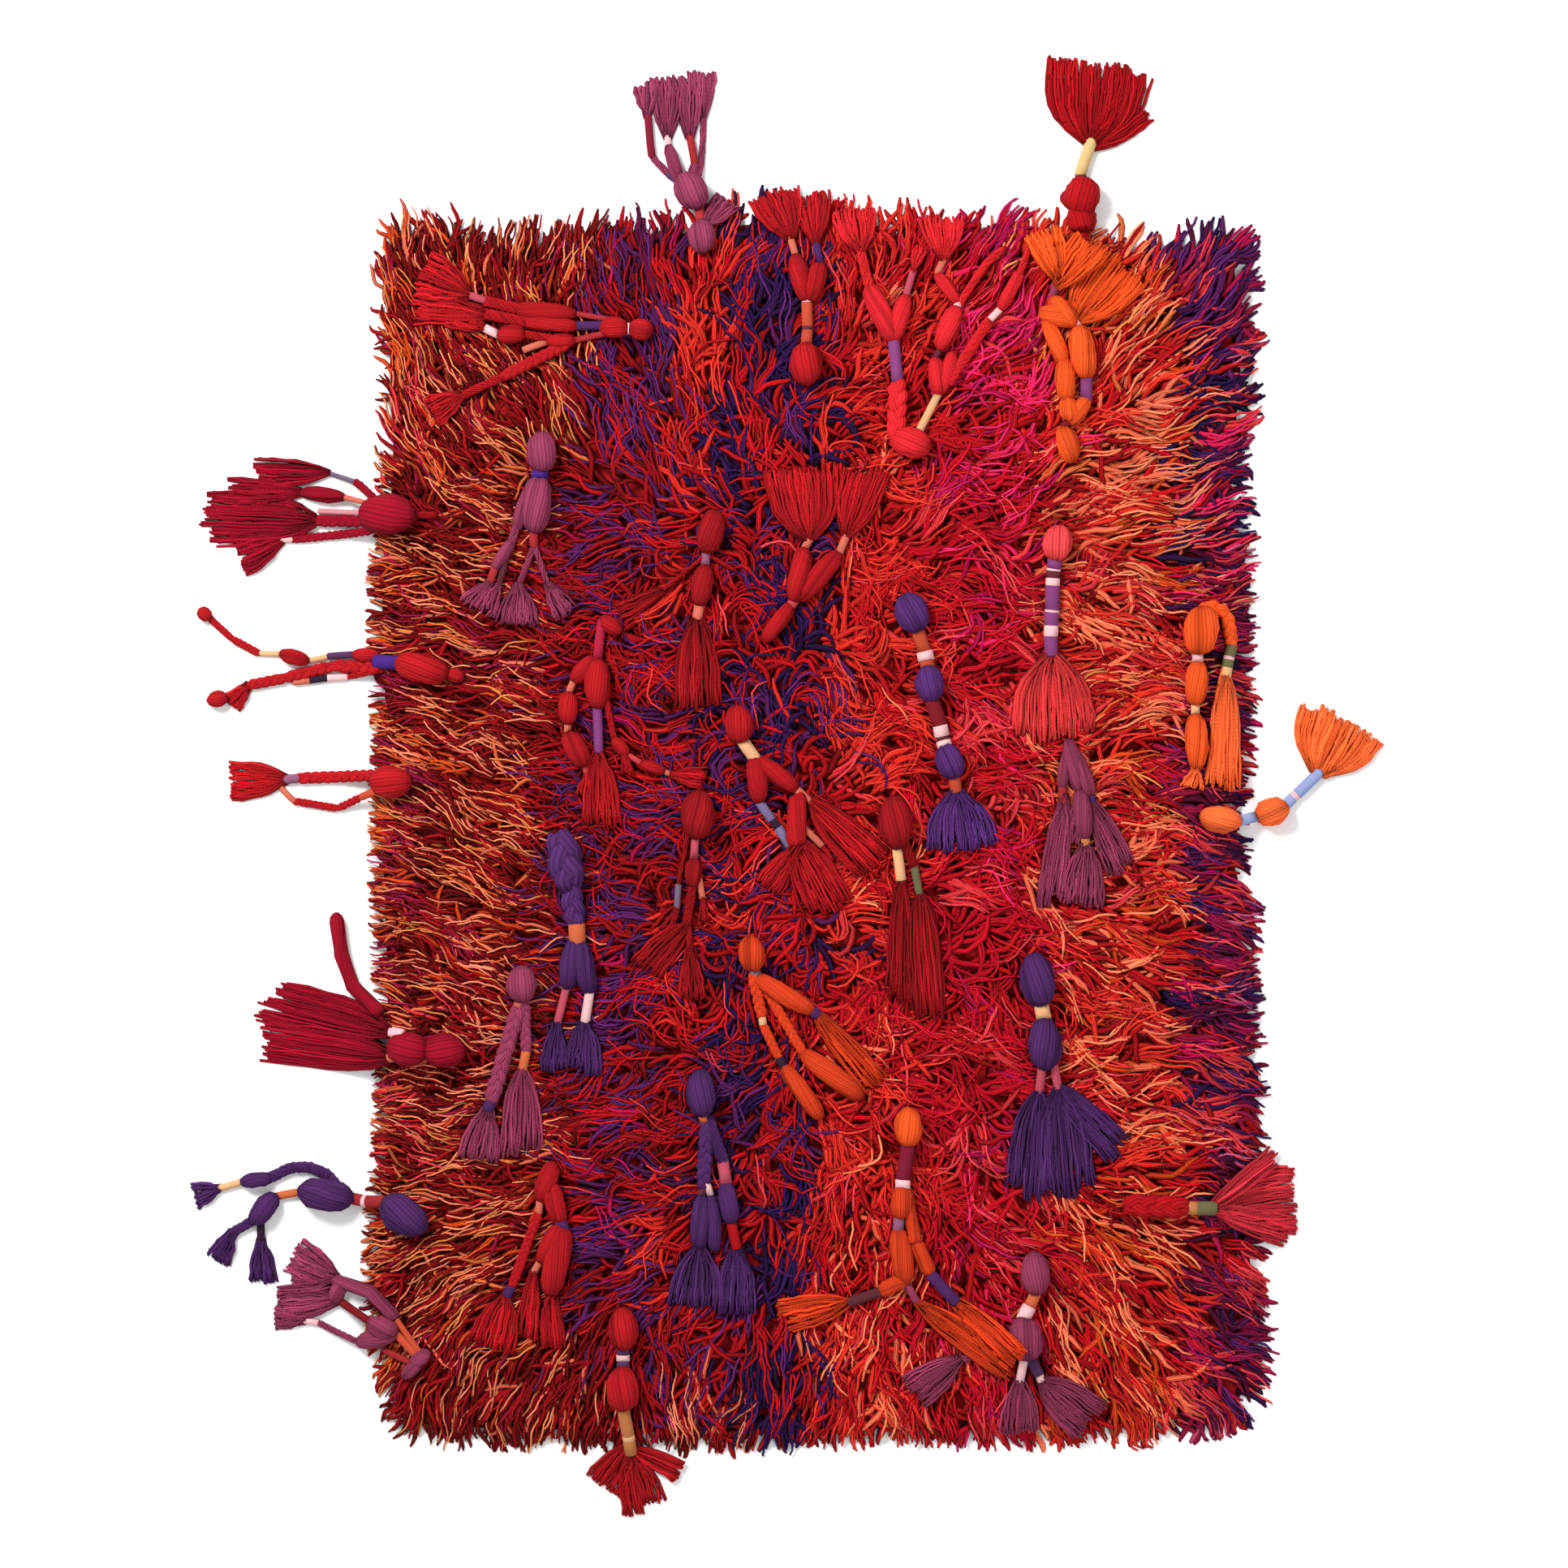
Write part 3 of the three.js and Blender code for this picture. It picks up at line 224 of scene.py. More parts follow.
# Spare locks of the last layer go where no other covers the bed: how many cells round a bare
# one are bare too, cells from one spare lock to the next, how far back one roots, the least
# height that the pile has there, and which places of a flat lock's steps mark their cells
BARE = Named(
    reach=2, apart=7, back=26, top=8, along=(0, 0.25, 0.5, 0.75), aside=(-0.7, 0, 0.7),
)
FLAT = 0.4  # height of a flat lock of the lower layer for its width
# How wide a yarn is along it, with the tips of yarns and of flat locks
TAPER = Named(at=[0, 0.1, 0.75, 1], wide=[0.7, 1, 1], tips=(0.75, 0.38))
FINER = 4  # a yarn's path is followed in this many steps for each of its rings
RISE = 0.22  # share of a yarn's length in which it comes up from its root
RISEN = 0.02  # how much of that share lies behind it at the root
SINK = 5  # how much deeper a yarn lies at its root end than at its tip
STAND = 3  # how far the pile stands above its solid
OVERLAP = 1  # how far the pile stays below a tassel
LEAST_HEIGHT = 1.9  # height of a yarn's middle on the floor
ROUNDED = 4  # cells over which the pile's top is rounded off, twice
CLEAR = 2  # cells round a tassel in which the pile stays below it
# How painted shade takes the red, the green and the blue of a yarn: red the least, so that
# shaded parts keep a painted red glow of light through the wool
SHADE_OF = (0.5, 1.2, 1.15)
# The bed of roots: its grid, its height as a share of the pile's, and its dyes: `shade`
# puts them in painted deep shade and `red` adds a painted red glow of light through the wool
BED = Named(
    inset=20, across=60, down=82, share=0.26, rough=1.6, lift=0.2, thick=1, shade=0.13, red=2.4,
)

# Pieces of the pile: name and where each ends
PILE_PIECES = [
    ("gold", 130), ("ember", 262), ("violet", 420), ("indigo", 540), ("scarlet", 690),
    ("crimson", 800), ("amber", 950), ("wine", 1200),
]

# Shape of one run of a tassel, as in its solid
SWELL = {"ball": [(0.16, 0.8), (0.5, 1), (0.84, 0.8)], "bulb": [(0.27, 0.94), (0.74, 0.96)]}
NECK = 0.45  # width of the waist between two bulbs
CLOSED_END = 0.4  # width of a ball's or bulb's closed end
OPEN_END = 0.85  # width of the free end of any other run
SQUASH = 0.9  # height of a run of yarn for its width
RIDGE = Named(pitch=36, waist=0.82)  # a plait's swellings
LONG_STEP = 60  # longest straight step of a cord or wrap
SLOPE = 0.55  # steepest fall of a hanging run of yarn
WIDE_BULB = 23  # limbs that get this wide have the rounder section
FOOT = {"slim": (0.354, 0.318), "round": (0.25, 0.39)}  # a section's half foot and depth
CHANCE = Named(step=12.9898, salt=78.233, large=43758.5453)  # as in the solids' tips

# Skirts: how many locks one has, how uneven and rounded their tips lie, and steps along a lock
SKIRT = Named(
    lock_wide=24, fewest=2, most=5, long=75, palm=0.35, ahead=3, inset=9, uneven=0.14, rounded=0.12,
)
LockStep = namedtuple("LockStep", "along spread wide tall")
LOCK_STEPS = [
    LockStep(0, 0, 0.4, 8),
    LockStep(0.35, 0.5, 0.5, 8.5),
    LockStep(0.7, 0.8, 0.58, 7.5),
    LockStep(1, 1, 0.56, 4.5),
]
SHORT_STEPS = [*LOCK_STEPS[:2], LOCK_STEPS[3]]  # those of a short lock

# Yarn that is shaded: how much each one and each of its three colours strays
STREAK = Named(own=0.1, tilt=0.35)

# A cord: its yarns' radius and their greatest share of its width, how many millimetres of path
# a full twist takes, the least number of yarns, how they lie and stray, and their core, whose
# dark dye is painted shade between the yarns
CORD = Named(
    radius=1.7, fat=0.75, twist=46, fewest=4, inside=0.85, least=0.15, close=0.84, stray=0.25,
    uneven=0.04, deep=0.3, thick=(0.92, 1.1), fine=1.3, finest=0.35, tone=(0.55, 0.5), hollow=1.6,
    core=1.5, thinnest=0.4, dark=0.6, streak=0.02, sides=8, step=7, past=1.5, end=8, tip=0.35,
)
# Cords wider than `wide` are gathered yarn, as heads are: their steps and ends
HEAD = Named(
    wide=17, end=8, step=40, at=([-1, 2], [-2, 1]), ends=([0.5, 0.84], [0.84, 0.5]),
)
# Gathered yarn: its ridges and grooves, its creases, its twist and how dark its ends are;
# the grooves (`valley`), creases (`dark`) and narrowing ends (`tone`) are painted shade
SKEIN = Named(
    sides=24, ripple=0.5, valley=0.78, creases=4, crease=0.13, narrow=0.22, twist=500,
    deep=(0.3, 1), uneven=0.045, dark=0.4, streak=0.07, tone=(0.42, 0.68, 1.08),
)
ARCH = {"ball": (2.2, 0.62), "bulb": (2.6, 0.55)}  # powers of a swelling's arch
SWELLING_AT = np.array([0, 0.05, 0.16, 0.36, 0.64, 0.84, 0.95, 1])  # its rings
# Wound thread: how far it goes past its run, its rings, and how proud it stands
WINDING = Named(
    past=0.6, flat=0.9, step=16, edge=0.25, ends=([0.72, 0.92], [0.92, 0.72]), proud=0.5, sides=12,
    streak=0.04,
)
# A plait: its period and its strands' ways and thickness for its width
PLAIT = Named(
    period=2.0, aside=0.25, over=0.15, strand=0.29, sides=8, steps=8, drawn=0.5, end=0.35,
    uneven=0.05, streak=0.06,
)
# A skirt's yarns: how many cover it, how they leave the root, stray, wave and are lit: their
# dyes are painted deeper towards the root as shade, and some yarns are lighter than the rest
FRINGE = Named(
    radius=2.3, sides=3, cover=3.05, fewest=12, steps=7, crowd=1.25, tuck=5, tucked=0.1, mess=0.2,
    even=0.8, gathered=0.42, until=0.3, wave=40, off=(0.1, 1), waves=(0.8, 1.2), up=(-0.9, 1),
    short=(-1, 0.5), long=90, sway=1.4, stray=2.2, uneven=0.06, streaks=0.14, light=0.3,
    tones=(1.38, 0.9), at=(0, 8, 18, 40, 80, 160), bell=(0.12, 0.4, 0.62, 0.84, 0.95, 1),
    tall=([0, 0.35, 0.7, 1], [3.2, 3.4, 2.6, 1.0]), rise=0.25, clear=0.2,
    thick=([0, 0.15, 0.9, 1], [0.8, 1, 1.05, 0.85]), tone=([0, 0.25, 1], [0.52, 0.88, 1.08]),
)
LONE_ROOT = 9  # width of the root of a skirt that no other run comes before
TIE = 4.5  # how much of a limb the tie between two swellings takes up

THICKNESS = (0.88, 1.1)  # of single yarns, from the thinnest to the thickest
TINY, TINIEST = 1e-6, 1e-9  # what keeps divisions and logarithms from nothing

# A tube's own map: where its sides start and how far they go, its end caps' middles and half
# sizes, and the margin round each tube's square of its piece's map
TUBE_MAP = Named(start=0.08, span=0.84, near=0.035, far=0.965, cap=(0.03, 0.3), margin=0.05)

# Which of its materials a part of a tassel has
LOOSE, THREAD, GATHERED, PLAITED = range(4)

# Seeds of the random draws
SEEDS = {"drift": 3, "bed": 5, "pile": 7, "tassels": 11, "sway": 21, "wild_sway": 22, "ripple": 23}

# Colours of the tassels' yarns and ties, in sRGB
DYES = {
    "crimson": (128, 7, 29), "scarlet": (152, 17, 23), "vermilion": (190, 30, 36),
    "madder": (132, 14, 20), "red": (148, 11, 18), "mauve": (126, 48, 74), "indigo": (66, 32, 80),
    "orange": (212, 74, 26), "coral": (150, 40, 44), "burnt": (184, 52, 22),
    "apricot": (182, 90, 54), "tangerine": (232, 98, 47), "bright_coral": (214, 62, 64),
    "raspberry": (178, 40, 52), "tomato": (188, 48, 48), "violet": (74, 36, 94),
    "slate": (100, 84, 104), "peach": (182, 92, 74), "blush": (182, 118, 124),
    "white": (214, 168, 170), "blue": (60, 32, 108), "navy": (74, 44, 78), "cream": (206, 156, 112),
    "pale_cream": (196, 168, 116), "night": (42, 24, 42), "lilac": (126, 78, 104),
    "rust": (172, 66, 44), "pink": (168, 66, 84), "oxblood": (112, 20, 28), "brick": (140, 36, 40),
    "umber": (84, 36, 44), "purple": (118, 56, 106), "rose": (168, 56, 60),
    "magenta": (156, 28, 56), "ochre": (172, 106, 64), "sky": (106, 92, 128),
    "pale_blue": (138, 150, 190), "olive": (96, 90, 60), "plum": (118, 22, 46),
}

# Tassels whose yarn is lighter or darker than the rest of its kind
OWN_DYES = {
    "field_14": "burnt", "field_19": "burnt", "right_1": "tangerine", "field_7": "bright_coral",
    "upper_2": "scarlet", "right_2": "red", "field_6": "violet",
}

# Runs of yarn end at u, v and are `wide` across; limbs start at u, v
Run = namedtuple("Run", "kind u v wide dye", defaults=[None])
Limb = namedtuple("Limb", "u v runs")
Tassel = namedtuple("Tassel", "name yarn limbs")
KINDS = ("ball", "bulb", "cord", "braid", "wrap", "skirt")
ball, bulb, cord, braid, wrap, skirt = (partial(Run, kind) for kind in KINDS)


def limb(u, v, *runs):
    """A limb with the runs that follow its start."""
    return Limb(u, v, runs)


# The tassels, in the order in which they lie on one another
TASSELS = [
  Tassel("left_1", "crimson", [
    limb(66, 345, cord(40, 345, 10, "madder"), bulb(-22, 345, 52)),
    limb(-2, 330, cord(-32, 303, 11), wrap(-66, 292, 5, "slate"), skirt(-170, 290, 36)),
    limb(-12, 332, wrap(-46, 322, 6, "peach"), bulb(-100, 316, 19), skirt(-198, 314, 34)),
    limb(-18, 342, wrap(-78, 339, 6, "blush")),
    limb(-14, 352, braid(-84, 351, 15), skirt(-226, 346, 66)),
    limb(-12, 364, braid(-112, 374, 11), wrap(-124, 374, 7, "white"), skirt(-188, 396, 52)),
  ]),
  Tassel("left_2", "scarlet", [
    limb(100, 545, bulb(82, 540, 18), bulb(22, 527, 38), wrap(-8, 525, 17, "blue")),
    limb(-4, 519, bulb(-35, 516, 18), wrap(-66, 518, 8, "navy"), wrap(-92, 524, 6, "cream"),
      bulb(-125, 515, 20), wrap(-152, 515, 6, "cream"), braid(-185, 497, 10), braid(-215, 470, 9),
      bulb(-224, 462, 18)),
    limb(-4, 533, braid(-60, 530, 17), braid(-120, 545, 15), braid(-165, 554, 14), skirt(-190, 580, 28)),
    limb(-160, 552, cord(-193, 569, 6), ball(-213, 573, 22)),
    limb(0, 535, cord(-45, 544, 9), wrap(-68, 545, 8, "white"), wrap(-90, 548, 8, "night"),
      wrap(-108, 550, 8, "peach")),
  ]),
  Tassel("left_3", "scarlet", [
    limb(34, 675, ball(-10, 672, 40)),
    limb(0, 665, braid(-105, 669, 15), wrap(-118, 670, 11, "lilac"), skirt(-200, 672, 50)),
    limb(-4, 684, wrap(-25, 692, 9, "rust"), braid(-55, 706, 10), braid(-110, 697, 10),
      wrap(-124, 682, 7, "peach")),
  ]),
  Tassel("left_4", "crimson", [
    limb(100, 1003, ball(58, 1003, 44), wrap(54, 1003, 22, "pink"), ball(12, 1000, 44)),
    limb(0, 958, cord(-30, 937, 19), cord(-47, 906, 20), cord(-57, 838, 19)),
    limb(28, 984, wrap(12, 981, 13, "white"), skirt(-157, 938, 58)),
    limb(26, 1008, wrap(10, 1013, 12, "peach"), skirt(-170, 986, 56)),
  ]),
  Tassel("left_6", "mauve", [
    limb(58, 1375, bulb(38, 1390, 20)),
    limb(47, 1388, bulb(28, 1405, 18)),
    limb(47, 1383, wrap(18, 1352, 9, "rust"), bulb(-14, 1338, 28), wrap(-55, 1313, 9, "oxblood"),
      skirt(-140, 1320, 46)),
    limb(51, 1380, wrap(18, 1335, 7, "rust"), cord(-5, 1305, 16), cord(-60, 1288, 18),
      skirt(-120, 1286, 44)),
    limb(-55, 1288, skirt(-115, 1252, 44)),
    limb(-50, 1292, bulb(-60, 1314, 20)),
    limb(18, 1352, bulb(-30, 1365, 24), cord(-80, 1341, 9), wrap(-96, 1339, 7, "white"),
      skirt(-140, 1336, 30)),
    limb(40, 1390, wrap(4, 1374, 7, "brick"), cord(-10, 1358, 8)),
  ]),
  Tassel("left_5", "indigo", [
    limb(52, 1222, ball(5, 1190, 46), wrap(-18, 1191, 15, "brick"), wrap(-23, 1190, 15, "white"),
      wrap(-40, 1187, 14, "brick"), bulb(-98, 1178, 41)),
    limb(-52, 1176, cord(-68, 1158, 16), cord(-90, 1149, 16), cord(-114, 1150, 15),
      cord(-140, 1163, 15), ball(-173, 1167, 20), wrap(-200, 1175, 8, "cream"), skirt(-238, 1187, 34)),
    limb(-92, 1178, wrap(-132, 1185, 9, "apricot"), bulb(-158, 1214, 28), cord(-185, 1230, 14),
      skirt(-207, 1268, 34)),
    limb(-150, 1210, wrap(-150, 1238, 9, "night"), skirt(-147, 1296, 34)),
  ]),
  Tassel("upper_1", "scarlet", [
    limb(332, 118, ball(308, 116, 28), wrap(302, 116, 14, "white"), ball(272, 114, 28)),
    limb(286, 106, wrap(240, 97, 6, "brick"), bulb(170, 92, 22), cord(130, 82, 16),
      wrap(107, 74, 9, "pink"), skirt(45, 50, 65)),
    limb(284, 112, wrap(240, 112, 10, "indigo"), bulb(180, 108, 20), cord(130, 98, 16),
      skirt(35, 88, 34)),
    limb(284, 120, wrap(238, 130, 7, "brick"), bulb(205, 131, 20), wrap(175, 142, 8, "peach")),
    limb(214, 128, cord(175, 122, 12), bulb(145, 124, 24), wrap(128, 115, 10, "white"),
      skirt(80, 97, 30)),
    limb(230, 134, braid(150, 175, 15), cord(100, 198, 12), skirt(60, 220, 38)),
  ]),
  Tassel("top_2", "red", [
    limb(866, 28, cord(865, -4, 15), bulb(861, -34, 38), bulb(866, -64, 46),
      wrap(861, -76, 13, "umber"), wrap(875, -116, 14, "pale_cream"), skirt(884, -222, 132)),
    limb(875, -114, skirt(940, -172, 60)),
    limb(872, -40, bulb(842, -48, 30)),
  ]),
  Tassel("top_1", "mauve", [
    limb(395, 20, ball(394, -16, 34), wrap(391, -38, 12, "coral"), bulb(372, -70, 42)),
    limb(372, -66, wrap(354, -76, 9, "navy"), cord(332, -100, 10), wrap(328, -148, 9, "plum"),
      skirt(325, -194, 32)),
    limb(366, -68, bulb(353, -112, 17), wrap(352, -122, 8, "white"), skirt(352, -206, 40)),
    limb(382, -66, bulb(386, -90, 14), wrap(380, -122, 9, "brick"), skirt(378, -208, 34)),
    limb(386, -60, cord(394, -90, 9), cord(397, -150, 9), skirt(398, -206, 28)),
    limb(398, -12, skirt(430, -48, 35)),
  ]),
  Tassel("upper_2", "madder", [
    limb(523, 182, ball(523, 136, 42), wrap(525, 118, 13, "rust"), wrap(525, 113, 13, "umber"),
      wrap(524, 84, 13, "rust"), wrap(524, 74, 12, "white")),
    limb(523, 80, bulb(510, 25, 26), wrap(504, 3, 8, "peach"), skirt(478, -62, 62)),
    limb(527, 80, bulb(541, 36, 26), wrap(535, 10, 9, "indigo"), skirt(528, -60, 45)),
  ]),
  Tassel("upper_3", "vermilion", [
    limb(672, 262, ball(630, 250, 38)),
    limb(634, 250, braid(636, 182, 24), wrap(630, 122, 14, "purple")),
    limb(631, 130, bulb(601, 65, 28), cord(590, 20, 14), skirt(580, -38, 56)),
    limb(631, 130, bulb(646, 75, 24), wrap(655, 45, 8, "pink"), skirt(664, 12, 18)),
    limb(658, 250, wrap(686, 196, 9, "cream"), bulb(682, 152, 22), wrap(688, 141, 8, "umber"),
      bulb(709, 90, 28), wrap(711, 80, 9, "white")),
    limb(688, 194, bulb(704, 145, 20)),
    limb(711, 84, bulb(684, 48, 17), wrap(693, 30, 8, "peach"), skirt(690, -30, 55)),
    limb(712, 84, cord(745, 35, 13), cord(768, 15, 11)),
    limb(698, 182, cord(748, 106, 15), wrap(762, 92, 8, "white"), bulb(785, 50, 17),
      cord(800, 12, 14), cord(824, 22, 10)),
  ]),
  Tassel("upper_4", "orange", [
    limb(850, 278, bulb(840, 238, 28), wrap(848, 228, 12, "oxblood"), bulb(843, 203, 26),
      bulb(840, 155, 26)),
    limb(848, 232, bulb(868, 204, 22), wrap(868, 175, 14, "purple"), bulb(858, 114, 34),
      wrap(852, 106, 13, "white"), bulb(812, 95, 26)),
    limb(853, 112, bulb(826, 78, 26), wrap(833, 55, 10, "mauve"), skirt(810, -12, 46)),
    limb(833, 62, skirt(880, 5, 50)),
    limb(856, 104, skirt(920, 24, 84)),
    limb(842, 160, bulb(818, 104, 22)),
  ]),
  Tassel("field_1", "mauve", [
    limb(200, 247, ball(197, 288, 40), wrap(195, 302, 20, "blue"), bulb(190, 364, 36)),
    limb(188, 302, bulb(167, 362, 20)),
    limb(188, 358, wrap(188, 384, 10, "coral"), cord(170, 430, 9), skirt(168, 488, 48)),
    limb(188, 380, cord(205, 430, 9), skirt(228, 472, 32)),
    limb(168, 356, cord(160, 380, 12), bulb(140, 410, 16), wrap(134, 428, 9, "coral"),
      skirt(105, 458, 28)),
    limb(158, 384, wrap(146, 428, 7, "umber"), skirt(130, 470, 24)),
  ]),
  Tassel("field_2", "madder", [
    limb(411, 342, bulb(400, 390, 34), wrap(399, 408, 10, "lilac"), bulb(392, 455, 28),
      wrap(389, 473, 12, "peach"), skirt(390, 595, 56)),
    limb(398, 396, cord(345, 438, 7), skirt(290, 465, 24)),
    limb(402, 394, cord(438, 414, 7)),
  ]),
  Tassel("field_3", "scarlet", [
    limb(472, 499, bulb(504, 457, 22), wrap(513, 444, 12, "rose")),
    limb(509, 450, bulb(521, 386, 28), wrap(528, 374, 9, "peach"), skirt(516, 280, 96)),
    limb(514, 448, bulb(564, 392, 26), wrap(573, 370, 9, "peach"), skirt(603, 282, 56)),
  ]),
  Tassel("field_4", "scarlet", [
    limb(294, 488, bulb(272, 474, 20), wrap(266, 524, 11, "magenta"), bulb(268, 580, 34)),
    limb(262, 522, bulb(237, 549, 24), wrap(231, 564, 8, "peach"), bulb(230, 601, 26),
      wrap(229, 613, 8, "peach"), bulb(251, 653, 28), wrap(254, 664, 8, "rose"), skirt(251, 692, 22)),
    limb(266, 574, wrap(268, 637, 11, "purple"), skirt(272, 738, 48)),
    limb(276, 566, cord(287, 621, 9), bulb(303, 640, 16), wrap(320, 650, 6, "rose"),
      bulb(349, 661, 15), wrap(357, 664, 6, "peach"), skirt(404, 671, 28)),
    limb(300, 636, skirt(305, 668, 14)),
  ]),
  Tassel("field_5", "scarlet", [
    limb(437, 583, ball(444, 622, 36), wrap(464, 650, 15, "cream")),
    limb(460, 644, bulb(465, 698, 27), wrap(481, 720, 11, "sky"), wrap(489, 730, 10, "night"),
      wrap(503, 752, 11, "sky"), cord(510, 762, 12)),
    limb(462, 646, bulb(511, 682, 25), wrap(528, 699, 10, "peach"), skirt(620, 790, 52)),
    limb(522, 693, cord(502, 702, 16), cord(512, 752, 26), skirt(474, 806, 34)),
    limb(512, 748, skirt(556, 834, 62)),
    limb(506, 716, wrap(543, 752, 8, "peach"), cord(556, 770, 8)),
  ]),
  Tassel("field_6", "indigo", [
    limb(646, 446, ball(660, 486, 42), wrap(669, 513, 16, "rust"), wrap(671, 524, 20, "white"),
      wrap(673, 534, 17, "rust"), ball(677, 571, 36), wrap(688, 604, 18, "oxblood"),
      wrap(690, 617, 18, "white"), wrap(692, 623, 15, "umber"), wrap(694, 631, 18, "white"),
      ball(705, 667, 35), wrap(708, 685, 14, "rust"), skirt(716, 768, 88)),
  ]),
  Tassel("field_8", "mauve", [
    limb(846, 622, bulb(860, 684, 22), bulb(866, 742, 24), wrap(868, 751, 10, "ochre"),
      skirt(862, 834, 56)),
    limb(850, 632, bulb(874, 690, 22), wrap(876, 700, 9, "indigo"), skirt(916, 790, 36)),
    limb(847, 628, bulb(838, 680, 16), wrap(840, 701, 10, "brick"), skirt(833, 752, 30),
      skirt(821, 838, 34)),
    limb(864, 688, skirt(846, 754, 24)),
  ]),
  Tassel("field_7", "coral", [
    limb(836, 362, ball(829, 398, 38), wrap(828, 411, 17, "purple"), wrap(827, 414, 17, "white"),
      wrap(827, 423, 17, "umber"), wrap(826, 432, 17, "white"), wrap(826, 462, 17, "purple"),
      wrap(825, 465, 17, "white"), wrap(825, 481, 17, "purple"), wrap(824, 494, 17, "white"),
      wrap(825, 518, 16, "purple"), skirt(829, 630, 104, "tomato")),
  ]),
  Tassel("field_9", "orange", [
    limb(1004, 478, braid(1016, 456, 18), braid(1041, 466, 18), braid(1048, 505, 17),
      wrap(1044, 519, 13, "olive"), wrap(1043, 523, 13, "white"), wrap(1042, 532, 13, "olive"),
      wrap(1040, 544, 12, "cream"), skirt(1037, 690, 38, "tangerine")),
    limb(1012, 462, bulb(1004, 514, 44), wrap(1005, 527, 13, "white"), bulb(1002, 577, 30),
      wrap(1002, 591, 10, "cream"), bulb(1004, 655, 29), skirt(997, 684, 26, "tangerine")),
    limb(1040, 536, skirt(1022, 686, 20, "tangerine")),
  ]),
  Tassel("right_1", "orange", [
    limb(1011, 716, ball(1056, 722, 36), wrap(1080, 716, 13, "pale_blue"), ball(1114, 704, 36),
      wrap(1124, 693, 13, "pale_blue"), wrap(1130, 688, 12, "white"),
      wrap(1156, 663, 13, "pale_blue"), skirt(1190, 590, 112)),
  ]),
  Tassel("right_2", "coral", [
    limb(917, 1193, braid(990, 1197, 28), wrap(1004, 1198, 16, "ochre"), wrap(1028, 1198, 17, "olive"),
      skirt(1140, 1188, 84, "raspberry")),
    limb(1024, 1200, skirt(1134, 1234, 36, "raspberry")),
    limb(1024, 1194, skirt(1108, 1130, 24, "raspberry")),
  ]),
  Tassel("field_10", "indigo", [
    limb(222, 740, braid(232, 800, 44), braid(241, 848, 28), wrap(242, 874, 20, "apricot")),
    limb(239, 868, bulb(228, 927, 27), wrap(217, 970, 9, "pink"), skirt(211, 1036, 32)),
    limb(244, 868, bulb(257, 932, 27), wrap(251, 969, 11, "white"), skirt(249, 1036, 48)),
  ]),
  Tassel("field_11", "mauve", [
    limb(175, 903, ball(172, 942, 38), wrap(169, 952, 13, "peach"), braid(136, 1066, 20),
      wrap(131, 1077, 14, "indigo"), skirt(118, 1142, 50)),
    limb(176, 936, braid(179, 1005, 15), wrap(174, 1028, 11, "apricot"), skirt(172, 1142, 50)),
  ]),
  Tassel("field_12", "madder", [
    limb(392, 688, ball(387, 742, 44), wrap(385, 769, 9, "pink"), bulb(384, 800, 22),
      cord(376, 848, 13), skirt(322, 907, 42)),
    limb(377, 840, cord(380, 881, 10), skirt(384, 944, 32)),
    limb(380, 726, cord(366, 800, 7), wrap(364, 830, 7, "slate"), skirt(350, 862, 14)),
    limb(390, 782, wrap(396, 817, 7, "peach"), skirt(398, 846, 12)),
  ]),
  Tassel("field_13", "madder", [
    limb(631, 695, ball(635, 754, 42), wrap(640, 794, 12, "cream"), skirt(637, 960, 30)),
    limb(642, 746, cord(656, 776, 14), wrap(663, 813, 9, "olive"), skirt(676, 984, 44)),
  ]),
  Tassel("field_14", "orange", [
    limb(454, 866, ball(459, 904, 34), wrap(462, 915, 13, "slate"), bulb(531, 954, 26),
      wrap(538, 961, 13, "indigo"), skirt(620, 1058, 36)),
    limb(458, 910, braid(469, 962, 15), wrap(470, 972, 9, "cream"), braid(490, 1013, 12),
      wrap(496, 1024, 10, "night"), bulb(541, 1086, 24)),
    limb(464, 912, braid(520, 1007, 13), bulb(590, 1061, 28)),
  ]),
  Tassel("field_15", "indigo", [
    limb(803, 888, ball(812, 946, 44), wrap(816, 967, 18, "cream"), ball(818, 1024, 43)),
    limb(814, 1014, wrap(810, 1056, 10, "pink"), skirt(800, 1192, 64)),
    limb(826, 1014, wrap(834, 1053, 10, "pink"), skirt(846, 1192, 70)),
    limb(834, 1050, skirt(916, 1136, 40)),
  ]),
  Tassel("field_16", "indigo", [
    limb(394, 1031, ball(396, 1082, 38), wrap(401, 1092, 14, "apricot"), braid(397, 1172, 19),
      wrap(394, 1183, 9, "umber"), bulb(392, 1246, 25), skirt(386, 1332, 70)),
    limb(402, 1086, cord(421, 1140, 17), wrap(425, 1169, 14, "pink"), bulb(431, 1215, 25),
      wrap(438, 1248, 12, "red"), skirt(436, 1332, 52)),
    limb(399, 1160, wrap(406, 1183, 8, "white"), bulb(411, 1250, 22)),
  ]),
  Tassel("field_17", "scarlet", [
    limb(212, 1143, bulb(196, 1188, 26), wrap(194, 1204, 9, "peach"), braid(161, 1295, 13),
      wrap(154, 1306, 12, "indigo"), skirt(135, 1375, 58)),
    limb(206, 1164, bulb(221, 1213, 26), wrap(225, 1224, 15, "indigo"), bulb(208, 1303, 32),
      skirt(212, 1378, 32)),
    limb(222, 1220, bulb(196, 1264, 25), wrap(188, 1277, 9, "peach"), skirt(179, 1364, 26)),
  ]),
  Tassel("field_18", "scarlet", [
    limb(298, 1323, ball(298, 1369, 38), wrap(298, 1378, 15, "navy"), wrap(298, 1386, 16, "white"),
      wrap(298, 1395, 15, "navy"), ball(298, 1444, 42), wrap(304, 1478, 15, "ochre"),
